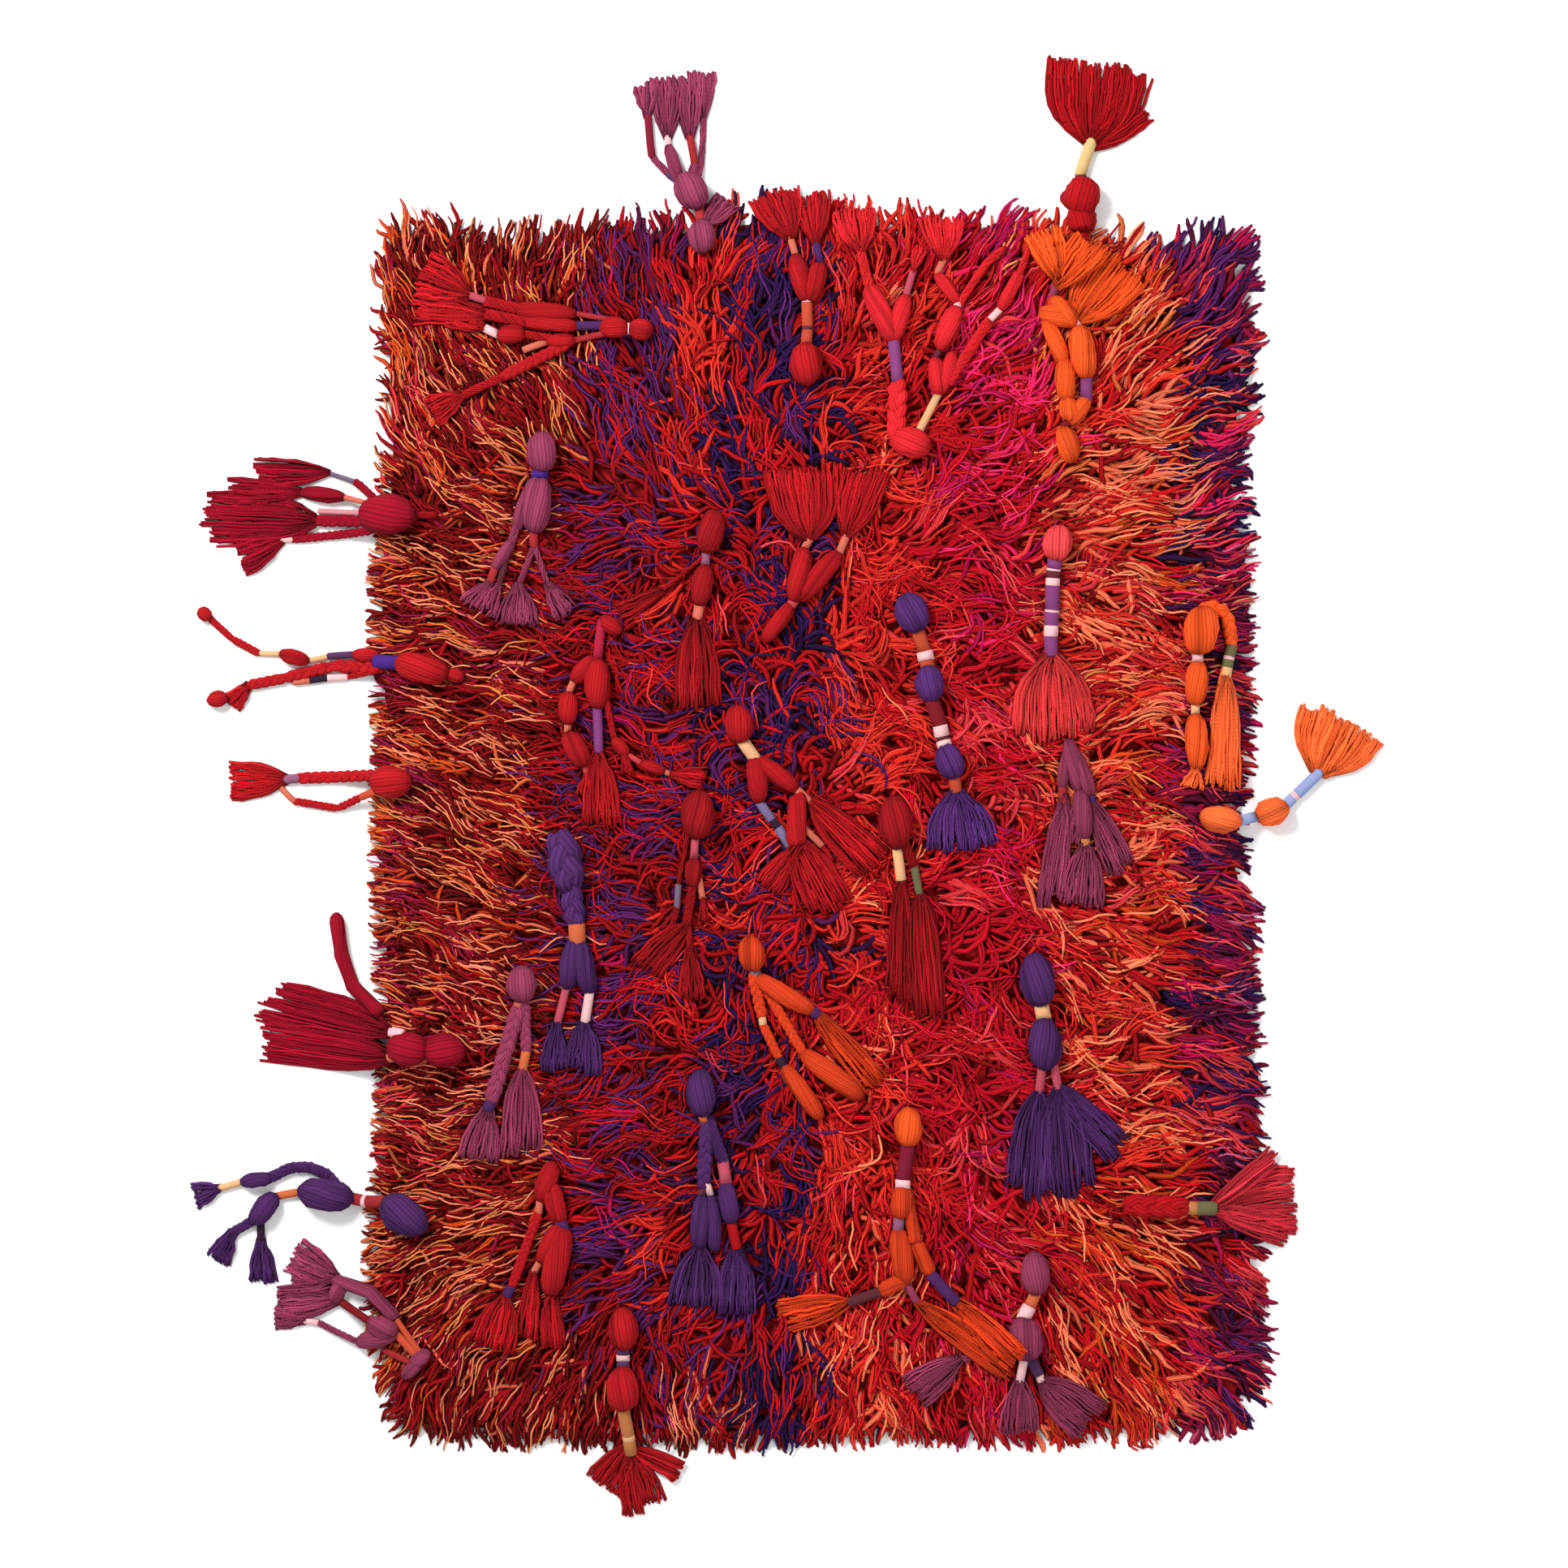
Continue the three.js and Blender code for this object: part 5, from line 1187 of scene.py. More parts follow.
def fanned(root, end, fan, s, rng):
    """How far aside and up a skirt's yarns lie at shares s of their way: from their places in
    a round bundle to their places in the fan, which opens as a bell does. A wave, a stray
    and a height of each yarn's own are added."""
    each = (len(fan), 1)
    gathered = FRINGE.gathered * (root["wide"] * np.clip(1 - s / FRINGE.until, 0, 1))
    turn = rng.uniform(0, 2 * np.pi, each)
    off = np.sqrt(rng.uniform(*FRINGE.off, each))
    length = math.dist((root["u"], root["v"]), (end.u, end.v))
    opened = np.interp(s * length, FRINGE.at, FRINGE.bell)
    aside = fan[:, None] * end.wide * opened / opened[-1] + gathered * off * np.cos(turn)
    waves = s * FRINGE.long / FRINGE.wave * rng.uniform(*FRINGE.waves, each)
    waves = waves + rng.uniform(0, 1, each)
    aside = aside + s * FRINGE.sway * np.sin(2 * np.pi * waves)
    aside = aside + FRINGE.stray * s**2 * rng.standard_normal(each)
    over = gathered * off * np.sin(turn)
    tall = np.interp(s, *FRINGE.tall) * rng.uniform(*FRINGE.up, each)
    return aside, over + tall * smooth(s / FRINGE.rise)


def fringe_dyes(dye, s, count, rng):
    """Dyes of a skirt's yarns: painted deeper towards the root as shade, and light and dark yarns mixed.
    """
    # Painted shade, deepest at the root
    depth = np.interp(s, *FRINGE.tone)
    colours = shaded(dye, depth[:, None], count, len(s), rng, FRINGE.streaks)
    light = rng.uniform(0, 1, (count, 1, 1)) < FRINGE.light
    return np.clip(colours * np.where(light, *FRINGE.tones), 0, 1)


def fringe(root, end, ground, dye, rng):
    """A skirt: yarns that leave the root as a round bundle and fan out over the seated locks."""
    lines, along = lock_lines(root, end, ground)
    count = max(FRINGE.fewest, int(round(end.wide * FRINGE.cover / (2 * FRINGE.radius))))
    even = (np.arange(count) + 0.5) / count * FRINGE.even
    fan = np.sort(rng.uniform(-0.5, 0.5, count)) * FRINGE.mess + even - FRINGE.even / 2
    lock = np.clip(((fan + 0.5) * len(lines)).astype(int), 0, len(lines) - 1)
    s = np.linspace(0, 1, FRINGE.steps) ** FRINGE.crowd
    places = np.stack([line.places for line in lines])[lock]
    height = sampled(s, along, np.stack([line.heights for line in lines])[lock])
    start = place_of(root["u"], root["v"])
    way = unit(place_of(end.u, end.v) - start)
    tuck = FRINGE.tuck * np.clip(1 - s / FRINGE.tucked, 0, 1)
    ahead = sampled(s, along, (places - start) @ way) - tuck
    aside, over = fanned(root, end, fan, s, rng)
    ahead = ahead * (1 + FRINGE.uneven * rng.uniform(*FRINGE.short, (count, 1)) * s)
    flat = start + aside[..., None] * lines[0].across[0] + ahead[..., None] * way
    below = highest_near(ground, flat) + FRINGE.radius
    height = np.maximum(height + over, np.where(s > FRINGE.clear, below, -math.inf))
    centres = np.concatenate([flat, height[..., None]], -1)
    radii = FRINGE.radius * rng.uniform(*THICKNESS, (count, 1)) * np.interp(s, *FRINGE.thick)
    return [tubes(centres, radii, fringe_dyes(dye, s, count, rng), FRINGE.sides)]


def sampled(s, along, values):
    """Rows of values given at steps along, at shares s: straight between steps."""
    near = np.clip(np.searchsorted(along, s, "right") - 1, 0, len(along) - 2)
    share = (s - np.take(along, near)) / (np.take(along, near + 1) - np.take(along, near))
    return values[:, near] * (1 - share) + values[:, near + 1] * share


def limb_parts(one, ground, seated, yarn, rng):
    """Every run of a limb. It starts at the height of the nearest station laid before it."""
    z = 0.0
    if seated:
        rows = np.concatenate(seated)
        z = rows[np.argmin(np.linalg.norm(rows[:, :2] - place_of(one.u, one.v), axis=1)), 2]
    root = {"u": one.u, "v": one.v, "z": z, "ahead": 0, "wide": LONE_ROOT}
    skirts = [r for r in one.runs if r.kind == "skirt"]
    parts = []
    if len(skirts) < len(one.runs):
        parts, root = firm_parts(one, z, ground, seated, yarn, rng)
    for k, end in enumerate(skirts):
        ahead = -SKIRT.inset if k else root["ahead"]
        parts += fringe({**root, "ahead": ahead}, end, ground, DYES[end.dye or yarn], rng)
    return parts


def firm_parts(one, z, ground, seated, yarn, rng):
    """The runs of a limb before its skirts, and the root that these leave. Cords that follow
    one another are drawn as one, and a tie goes between two swellings that meet."""
    firm = [r for r in one.runs if r.kind != "skirt"]
    rows, firsts = stations_of((one.u, one.v), firm)
    line = line_of(rows)
    line.seat(ground, z)
    seated.append(np.c_[line.places, line.heights])
    path, parts, begun = Path(seated[-1]), [], 0
    for k, r in enumerate(firm):
        if [each.kind for each in firm[k:k + 2]] == ["cord", "cord"]:
            continue
        ends = path.marks[firsts[begun]], path.marks[firsts[k + 1]]
        necks = rows[firsts[begun], 2], rows[firsts[k + 1], 2]
        begun = k + 1
        parts += run_parts(path, r, ends, necks, yarn, rng, begun == len(one.runs))
        if k and soft(r.kind) and soft(firm[k - 1].kind):
            tied = ends[0] - TIE / 2, ends[0] + TIE / 2
            parts += winding(path, *tied, necks[0] + 1, "oxblood", rng)
    tip = {"u": firm[-1].u, "v": firm[-1].v, "z": line.heights[-1]}
    return parts, {**tip, "ahead": SKIRT.ahead, "wide": rows[-1, 2]}


def run_parts(path, one, ends, necks, yarn, rng, last):
    """The tubes of one run."""
    dye = DYES[one.dye or yarn]
    if soft(one.kind):
        return swelling(path, one, *ends, *necks, dye, rng)
    if one.kind == "wrap":
        return winding(path, *ends, one.wide, one.dye or yarn, rng)
    if one.kind == "braid":
        return plait(path, one, *ends, dye, rng)
    return strand_cord(path, one, *ends, dye, rng, last)


# The pile
def slow_waves(u, v, long, rng):
    """A sum of sines that run in directions spread evenly round, each with a wavelength near
    `long`; it varies by about 1 either way."""
    total, count = 0, WAVES.count
    for k in range(count):
        way = math.pi * (k + rng.uniform()) / count
        rate = 2 * math.pi / (long * rng.uniform(*WAVES.long))
        phase = rate * (u * math.cos(way) + v * math.sin(way)) + rng.uniform(0, WAVES.phase)
        total = total + np.sin(phase)
    return total * math.sqrt(2 / count)


def between(marks, x):
    """Which two marks each number lies between, and its share of the way from the first."""
    marks = np.asarray(marks, float)
    i = np.clip(np.searchsorted(marks, x) - 1, 0, len(marks) - 2)
    return i, np.clip((x - marks[i]) / (marks[i + 1] - marks[i]), 0, 1)


def laid_heading(u, v):
    """The table's heading at plan places: its cosine and sine are mixed by nearness."""
    angles = np.radians([row for _, row in HEADINGS.rows])
    i, p = between([down for down, _ in HEADINGS.rows], v)
    j, q = between(HEADINGS.u, u)
    cosine, sine = (mixed_four(part, i, j, p, q) for part in (np.cos(angles), np.sin(angles)))
    return np.arctan2(sine, cosine)


def flow_at(u, v, wild):
    """Heading of the pile: the table's, bent by slow waves, by shorter and stronger ones
    where the pile is unruly, and by short ones everywhere."""
    sway, swirl, ripple = (
        FLOW[far] * share * slow_waves(u, v, FLOW[long], np.random.default_rng(SEEDS[far]))
        for far, share, long in (
            ("sway", 1, "long"), ("wild_sway", wild, "wild_long"), ("ripple", 1, "ripple_long"),
        )
    )
    return laid_heading(u, v) + np.radians(sway + swirl + ripple)


def unruliness(u, v):
    """How unruly the pile is: 1 in the middle, falling to 0 away from it as a round hump."""
    far = ((u - UNRULY.u) / UNRULY.across) ** 2 + ((v - UNRULY.v) / UNRULY.down) ** 2
    return np.exp(-(far ** UNRULY.power))


def yarn_shares(u, v):
    """Chance of each yarn at plan places: a band's yarns count as far as the place is inside
    the band, softly at its edges, and a patch adds its yarn as a round hump."""
    names = list(PILE_YARNS)
    drift = slow_waves(u, v, BAND_DRIFT.long, np.random.default_rng(SEEDS["drift"]))
    across = u + BAND_DRIFT.far * drift
    shares = np.zeros((len(u), len(names)))
    for band in BANDS:
        inside = 1 / (1 + np.exp((band.start - across) / (BAND_EDGE * band.soft)))
        inside *= 1 / (1 + np.exp((across - band.end) / (BAND_EDGE * band.soft)))
        total = sum(band.shares.values())
        for name, share in band.shares.items():
            shares[:, names.index(name)] += inside * share / total
    for name, patches in PATCHES.items():
        for patch in starmap(Patch, patches):
            far = ((u - patch.u) / patch.across) ** 2 + ((v - patch.v) / patch.down) ** 2
            shares[:, names.index(name)] += patch.share * np.exp(-far) * PATCHED
    return shares


def drawn(shares, patches, own, rng):
    """One yarn number for each row of shares: the greatest of the logarithm of each share,
    its patches' height and a chance of its own."""
    luck = -np.log(-np.log(rng.uniform(TINIEST, 1, shares.shape)))
    return np.argmax(np.log(shares + TINY) + patches + own * luck, axis=1)


def roots(rng):
    """Locks on a jittered square grid, drawn in from the outline and closer on the left."""
    columns = round(WIDTH / LOCK.pitch)
    rows = round(LENGTH / LOCK.pitch)
    i, j = np.meshgrid(np.arange(columns), np.arange(rows))
    jitter = rng.uniform(-0.5, 0.5, (2, rows, columns))
    inset = LOCK.inset
    u = np.interp((i + 0.5 + jitter[0]) / columns, CROWD.share, CROWD.u)
    u = inset + (WIDTH - 2 * inset) * u / WIDTH
    v = inset + (LENGTH - 2 * inset) * (j + 0.5 + jitter[1]) / rows
    return u.reshape(-1), v.reshape(-1)


def pile_top(nodes):
    """How high the pile may lie: a little above its solid, rounded off past the rim, and
    below every tassel."""
    top, under = blank_grid(0), blank_grid(math.inf)
    for name, node in nodes.items():
        if name == "rug":
            lay_on(top, node, np.maximum)
        else:
            lay_on(under, node, np.minimum)
    top = np.where(top > 1, top + STAND, LEAST_HEIGHT)
    for _ in range(2):
        top = near_by(top, ROUNDED, np.mean)
    return np.minimum(top, near_by(under, CLEAR, np.min) - OVERLAP)


def rim_distance(u, v):
    """How far plan places lie in from the nearest rim of the straight sided ground."""
    return np.minimum.reduce([u, WIDTH - u, v, LENGTH - v])


def lock_facts(u, v, rng):
    """What the yarns of each lock share: root, heading, curl, wave and dye."""
    count = len(u)
    wild = unruliness(u, v)
    normal = rng.standard_normal
    stray = FLOW["stray"] + FLOW["wild_stray"] * wild
    curl = FLOW["curl"] + FLOW["wild_curl"] * wild
    inner = smooth(rim_distance(u, v) / LOCK.rim)
    patches = [slow_waves(u, v, CLUMP.long, rng) for _ in PILE_YARNS]
    return {
        "u": u, "v": v, "wild": wild, "size": RIM_SIZE + (1 - RIM_SIZE) * inner,
        "heading": flow_at(u, v, wild), "off": np.radians(stray * normal(count)),
        "curl": np.radians(curl * normal(count)) * (RIM_CURL + (1 - RIM_CURL) * inner),
        "wave": rng.uniform(FLOW["wave_short"], FLOW["wave_long"], count),
        "phase": rng.uniform(0, 2 * np.pi, count),
        "shares": yarn_shares(u, v),
        "patches": CLUMP.strong * np.stack(patches, -1),
    }


def within_rims(own, length, rng):
    """Lengths cut back so that no straight yarn would reach further past a rim than it may."""
    ahead, down = np.cos(own["heading"]), np.sin(own["heading"])
    rooms = {
        "left": (own["u"], -ahead), "right": (WIDTH - own["u"], ahead),
        "top": (own["v"], -down), "bottom": (LENGTH - own["v"], down),
    }
    for side, (far, way) in rooms.items():
        most = (far + rng.uniform(*OVERHANG[side], len(length))) / np.maximum(way, OVER_RIM)
        length = np.where(way > OVER_RIM, np.minimum(length, most), length)
    return np.maximum(length, SHORTEST)


def pulled_back(place, along, edge, side, sign, rim):
    """How far across or down yarns lie, once a share of what lies too far past a rim is taken
    off. Outwards is the way of the sign."""
    past = sign * (place - rim) - out_of(edge, along) - OVERHANG[side][1]
    return place - sign * (1 - DRAWN_IN) * np.maximum(past, 0)


def drawn_in(u, v):
    """Plan places of yarns, drawn back towards all four rims."""
    u = pulled_back(u, v, LEFT_EDGE, "left", -1, 0)
    u = pulled_back(u, v, RIGHT_EDGE, "right", 1, WIDTH)
    v = pulled_back(v, u, TOP_EDGE, "top", -1, 0)
    return u, pulled_back(v, u, BOTTOM_EDGE, "bottom", 1, LENGTH)


def followed(own, off, length, size, steps, rng):
    """How far across and down yarns have come at even steps along them. Each finer step heads
    as the pile does at its place, plus the yarn's own offset, a steady curl and a sine wave."""
    u, v = own["u"], own["v"]
    fine = FINER * (steps - 1) + 1
    wave = own["wave"] * size * rng.uniform(*FLOW["wave_apart"], len(u))
    phase = own["phase"] + FLOW["phase_apart"] * rng.standard_normal(len(u))
    came = [(u, v)]
    for s in (np.arange(fine - 1) + 0.5) / (fine - 1):
        bend = np.radians(FLOW["wave"]) * np.sin(2 * np.pi * length * s / wave + phase)
        heading = flow_at(u, v, own["wild"]) + off + own["curl"] * s + bend
        step = length / (fine - 1)
        u, v = u + step * np.cos(heading), v + step * np.sin(heading)
        came.append((u, v))
    came = np.array(came)[::FINER]
    return (came[:, 0] - own["u"]).T, (came[:, 1] - own["v"]).T


def plan_of_layer(own, layer, size, rng):
    """Plan places of a layer's yarns at their steps. The yarns of a lock root side by side
    and turn in towards its tip."""
    count, locks = len(own["u"]), len(own["u"]) // layer.yarns
    length = rng.uniform(layer.shortest, layer.longest, count) * own["size"]
    length = within_rims(own, length * np.interp(own["u"], FINE.u, FINE.length), rng)
    start, room = LOCK.rank
    rank = np.tile(np.arange(layer.yarns), locks) + start + room * rng.uniform(0, 1, count)
    rank = rank / layer.yarns
    apart = FLOW["apart"] + FLOW["wild_apart"] * own["wild"]
    apart = apart * rng.standard_normal(count) - FLOW["meet"] * (2 * rank - 1)
    apart = apart + np.tile(layer.cross, locks) * rng.standard_normal(count)
    off = own["off"] + np.radians(apart)
    across, down = followed(own, off, length, size, layer.steps, rng)
    u, v = on_ground(own["u"], own["v"])
    aside = LOCK.spread * LOCK.pitch * (rank - 0.5)
    back = LOCK.back * LOCK.pitch * rng.uniform(-0.5, 0.5, count)
    u = u - aside * np.sin(own["heading"]) + back * np.cos(own["heading"])
    v = v + aside * np.cos(own["heading"]) + back * np.sin(own["heading"])
    return drawn_in(u[:, None] + across, v[:, None] + down)


def layer_of_pile(locks, layer, top, rng):
    """Paths, thicknesses and dyes of one layer's yarns, and where they root. A yarn comes up
    from its root and lies at its depth under the pile's top."""
    pick = np.repeat(np.arange(len(locks["u"])), layer.yarns)
    own = {name: values[pick] for name, values in locks.items()}
    count = len(pick)
    size = np.interp(own["u"], FINE.u, FINE.size)
    flat = place_of(*plan_of_layer(own, layer, size, rng))
    s = np.linspace(0, 1, FINER * (layer.steps - 1) + 1)[::FINER]
    depth = rng.uniform(layer.shallow, layer.deep, (count, 1)) + SINK * (1 - s)
    lie = np.maximum(between_cells(top, flat) - depth, LEAST_HEIGHT)
    height = LEAST_HEIGHT + (lie - LEAST_HEIGHT) * smooth((s + RISEN) / RISE)
    centres = np.concatenate([flat, height[..., None]], -1)
    taper = np.interp(s, TAPER.at, [*TAPER.wide, TAPER.tips[layer.cover]])
    radii = layer.radius * (size * rng.uniform(*THICKNESS, count))[:, None] * taper
    return centres, radii, layer_dyes(own, layer, s, rng), own["u"]


def layer_dyes(own, layer, s, rng):
    """Dyes of a layer's yarns: most have their lock's main yarn, which is likelier to be a
    bright one in the upper layer, and each is painted darker towards its root as shade, and
    lighter or darker by its layer as painted light and shade. A shade counts for less in red,
    so shaded parts stay red: each of the three colours has its own power of it."""
    lift = np.array([yarn.lift for yarn in PILE_YARNS.values()])
    likely = LIFTED.least + LIFTED.more * lift
    if layer.cover:
        low = np.interp(own["u"], FINE.u, FINE.low)[:, None]
        likely = (LIFTED.most - LIFTED.more * lift) ** low
    shares = own["shares"] * likely
    own_draw = drawn(shares, CLUMP.weak * own["patches"], 1, rng)
    clumped = drawn(shares, own["patches"], CLUMP.own, rng)
    main = np.repeat(clumped[::layer.yarns], layer.yarns)
    loyal = np.interp(own["u"], LOYAL.u, LOYAL.share)
    number = np.where(rng.uniform(0, 1, len(main)) < loyal, main, own_draw)
    colours = linear([yarn[:3] for yarn in PILE_YARNS.values()])[number]
    own_tone = 1 + PILE_TONE.stray * rng.standard_normal((len(main), 1, 1)).clip(-2, 2)
    # Painted shade along the yarn, darkest at the root, times the layer's painted light and shade
    shade = layer.shade * np.interp(s, PILE_TONE.at, PILE_TONE.shade)
    return np.clip(colours[:, None] * own_tone * shade[:, None] ** SHADE_OF, 0, 1)


def bare_roots(layers, top):
    """Where spare locks root. The flat locks laid so far mark the cells under them, but for
    their first steps, which are still rising. In each square that has a cell far from a
    marked one, a lock roots back from it against the pile's heading."""
    covered = blank_grid(0)
    for centres, radii, _, _ in layers:
        risen = centres[:, 1:, :2]
        ahead = np.diff(risen, axis=1)
        across = unit(np.stack([-ahead[..., 1], ahead[..., 0]], -1)) * radii[:, 1:-1, None]
        for share in BARE.along:
            for aside in BARE.aside:
                row, column = cell_of(risen[:, :-1] + share * ahead + aside * across)
                covered[np.rint(row).astype(int), np.rint(column).astype(int)] = 1
    bare = near_by(1 - covered, BARE.reach, np.min) * (top > BARE.top)
    row, column = np.nonzero(bare)
    square = row // BARE.apart * bare.shape[1] + column // BARE.apart
    first = np.unique(square, return_index=True)[1]
    u, v = column[first] * CELL - REACH, LENGTH + REACH - row[first] * CELL
    moved_u, moved_v = on_ground(u, v)
    u, v = 2 * u - moved_u, 2 * v - moved_v
    heading = flow_at(u, v, unruliness(u, v))
    return u - BARE.back * np.cos(heading), v - BARE.back * np.sin(heading)


def make_pile(materials, top, rng):
    """The pile in pieces side by side, each of whole yarns that root between two limits."""
    locks = lock_facts(*roots(rng), rng)
    layers = [layer_of_pile(locks, layer, top, rng) for layer in LAYERS[:-1]]
    spare = lock_facts(*bare_roots(layers[1:], top), rng)
    layers.append(layer_of_pile(spare, LAYERS[-1], top, rng))
    pieces, start = [], -math.inf
    for name, end in PILE_PIECES:
        parts = []
        for layer, (centres, radii, dyes, u) in zip(LAYERS, layers):
            chosen = (u >= start) & (u < end)
            squash = FLAT if layer.cover else 1
            parts.append(tubes(centres[chosen], radii[chosen], dyes[chosen], 3, squash, layer.cover))
        pieces.append(make_piece(f"pile_{name}", parts, materials))
        start = end
    return pieces


def bed_grid(inset, columns, rows):
    """Places of a grid drawn in from the outline, and its plan places, row by row."""
    across = np.linspace(inset, WIDTH - inset, columns)
    u, v = np.meshgrid(across, np.linspace(inset, LENGTH - inset, rows))
    return place_of(*on_ground(u, v)).reshape(-1, 2), u.reshape(-1), v.reshape(-1)


def slab(name, upper, base, columns, rows, material):
    """A closed slab: a grid of upper points, a wall down from its rim to the height of its
    base and one flat face below."""
    number = np.arange(columns * rows).reshape(rows, columns)
    a, b = number[:-1, :-1], number[:-1, 1:]
    c, d = number[1:, 1:], number[1:, :-1]
    top = np.stack([a, d, c, b], -1).reshape(-1, 4)
    rim = np.concatenate([number[:-1, 0], number[-1, :-1], number[:0:-1, -1], number[0, :0:-1]])
    below = columns * rows + np.arange(len(rim))
    wall = np.stack([rim, below, np.roll(below, -1), np.roll(rim, -1)], -1)
    mesh = bpy.data.meshes.new(name)
    points = np.concatenate([upper, np.c_[upper[rim, :2], np.full(len(rim), base)]]) * MM
    faces = [*top.tolist(), *wall.tolist(), below[::-1].tolist()]
    mesh.from_pydata(points.tolist(), [], faces)
    mesh.shade_smooth()
    mesh.materials.append(material)
    return in_scene(name, mesh)


def make_ground(material):
    """The ground cloth under the pile: flat, with a top and an underside."""
    columns, rows = GROUND.across + 1, GROUND.down + 1
    flat, _, _ = bed_grid(GROUND.inset, columns, rows)
    upper = np.c_[flat, np.full(len(flat), GROUND.lift + GROUND.thick)]
    return slab("ground_cloth", upper, GROUND.lift, columns, rows, material)


def make_bed(material, top, rng):
    """The roots of the pile as one lumpy bed under its yarns. Its top is a share of the
    pile's height with a rough part added. Its dyes are the mean of the lower yarns there,
    in painted deep shade, with the darkest red added as a painted red glow of light
    through the wool."""
    columns, rows = BED.across + 1, BED.down + 1
    flat, u, v = bed_grid(BED.inset, columns, rows)
    height = BED.share * between_cells(top, flat) + BED.rough * rng.uniform(-1, 1, len(flat))
    base = GROUND.lift + GROUND.thick + BED.lift
    upper = np.c_[flat, np.maximum(height, base + BED.thick)]
    piece = slab("pile_bed", upper, base, columns, rows, material)
    low = np.array([(1 - yarn.lift) ** 2 for yarn in PILE_YARNS.values()])
    shares = yarn_shares(u, v) * low
    shares /= shares.sum(1, keepdims=True)
    # Painted light: the lower yarns' dyes in painted deep shade, plus a painted red glow of light
    # through the wool
    colours = BED.shade * shares @ linear([yarn[:3] for yarn in PILE_YARNS.values()])
    colours = colours + BED.red * linear(PILE_YARNS["ember"][:3])
    unseen = len(piece.data.vertices) - len(colours)
    paint_points(piece.data, np.concatenate([colours, colours[:unseen]]))
    return piece


def paint_points(mesh, dyes):
    """Puts linear dyes on a mesh's points, for its material to read."""
    paint = mesh.color_attributes.new("dye", "FLOAT_COLOR", "POINT")
    paint.data.foreach_set("color", np.c_[dyes, np.ones(len(dyes))].astype(np.float32).reshape(-1))


def make_tassels(materials, rng):
    """Every tassel in turn, each laid on the rug and the tassels before it."""
    ground = blank_grid(-GAP)
    lay_on(ground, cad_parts["rug"], np.maximum)
    pieces = {}
    for one in TASSELS:
        seated, parts = [], []
        yarn = OWN_DYES.get(one.name, one.yarn)
        for each in one.limbs:
            parts += limb_parts(each, ground, seated, yarn, rng)
        node = f"tassel_{one.name}"
        pieces[node] = make_piece(f"wool_{node}", parts, materials)
        lay_on(ground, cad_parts[node], np.maximum)
    return pieces


# Materials: how rough and how shiny each is, and what their textures are made with. Reliefs
# are in millimetres.
SURFACES = {
    "wool": (0.92, 0.1), "roots": (0.95, 0.1), "weave": (0.95, 0.15), "floor": (0.8, 0.5),
}
SPUN = {"Pitch": 6.0, "Climb": 2.0, "Fibre": 0.25, "Deep": 0.34}  # a group's values at first
WOOL = Named(mean=0.82, fibres=900, bump=0.6)
STREAKS = Named(
    across=95, out=28, detail=3, strong=2.4, less=-0.35, darkest=0.15, relief=3,
)
WEAVE = {
    "rate": 1250, "share": 0.25, "mottle": 60, "dark": (60, 8, 8), "light": (132, 20, 14),
    "relief": 0.5,
}
NODE_STEP = 200  # the nodes of a shader lie in a row, in the order in which they are made


def node_of(tree, kind, inputs, **settings):
    """A shader node. What goes into an input is a socket to link or a plain value."""
    made = tree.nodes.new(kind)
    made.location = (NODE_STEP * len(tree.nodes), -2 * NODE_STEP)
    for name, value in settings.items():
        setattr(made, name, value)
    for name, value in inputs.items():
        if isinstance(value, bpy.types.NodeSocket):
            tree.links.new(value, made.inputs[name])
        else:
            made.inputs[name].default_value = value
    return made.outputs


def math_node(tree, operation, *values):
    """The result of a Math node."""
    return node_of(tree, "ShaderNodeMath", dict(enumerate(values)), operation=operation)[0]


def vector_node(tree, operation, inputs, result="Vector"):
    """The result of a Vector Math node."""
    return node_of(tree, "ShaderNodeVectorMath", inputs, operation=operation)[result]


def noise(tree, place, scale, detail=2):
    """The height of a noise at a place."""
    return node_of(tree, "ShaderNodeTexNoise", {"Vector": place, "Scale": scale, "Detail": detail})[0]


def own_place(tree):
    """Places in the part's own metres."""
    return node_of(tree, "ShaderNodeTexCoord", {})["Object"]


def twist_group():
    """Relief of a spun yarn or a winding: ridges that climb round it as they go along it. The
    height is the size of the sine of half a turn for each ridge, with fine fibres added, and
    the tone is painted lighter on the ridges and darker in the grooves as shade, and mottled
    at random."""
    group = bpy.data.node_groups.new("Spun_ridges", "ShaderNodeTree")
    for name, start in SPUN.items():
        made = group.interface.new_socket(name, in_out="INPUT", socket_type="NodeSocketFloat")
        made.default_value = start
    for name in ("Height", "Tone"):
        group.interface.new_socket(name, in_out="OUTPUT", socket_type="NodeSocketFloat")
    inward = node_of(group, "NodeGroupInput", {})
    own_map = node_of(group, "ShaderNodeUVMap", {}, uv_map="yarn")[0]
    parts = node_of(group, "ShaderNodeSeparateXYZ", {0: own_map})
    along = math_node(group, "DIVIDE", parts[1], inward["Pitch"])
    turns = math_node(group, "ADD", along, math_node(group, "MULTIPLY", parts[0], inward["Climb"]))
    wave = math_node(group, "SINE", math_node(group, "MULTIPLY", turns, math.pi))
    fuzz = math_node(group, "MULTIPLY", noise(group, own_place(group), WOOL.fibres), inward["Fibre"])
    height = math_node(group, "ADD", math_node(group, "ABSOLUTE", wave), fuzz)
    above = math_node(group, "SUBTRACT", height, WOOL.mean)
    # Painted shade: darker in the grooves and lighter on the ridges, with the fibres' random mottle
    tone = math_node(group, "MULTIPLY_ADD", above, inward["Deep"], 1.0)
    node_of(group, "NodeGroupOutput", {"Height": height, "Tone": tone})
    return group


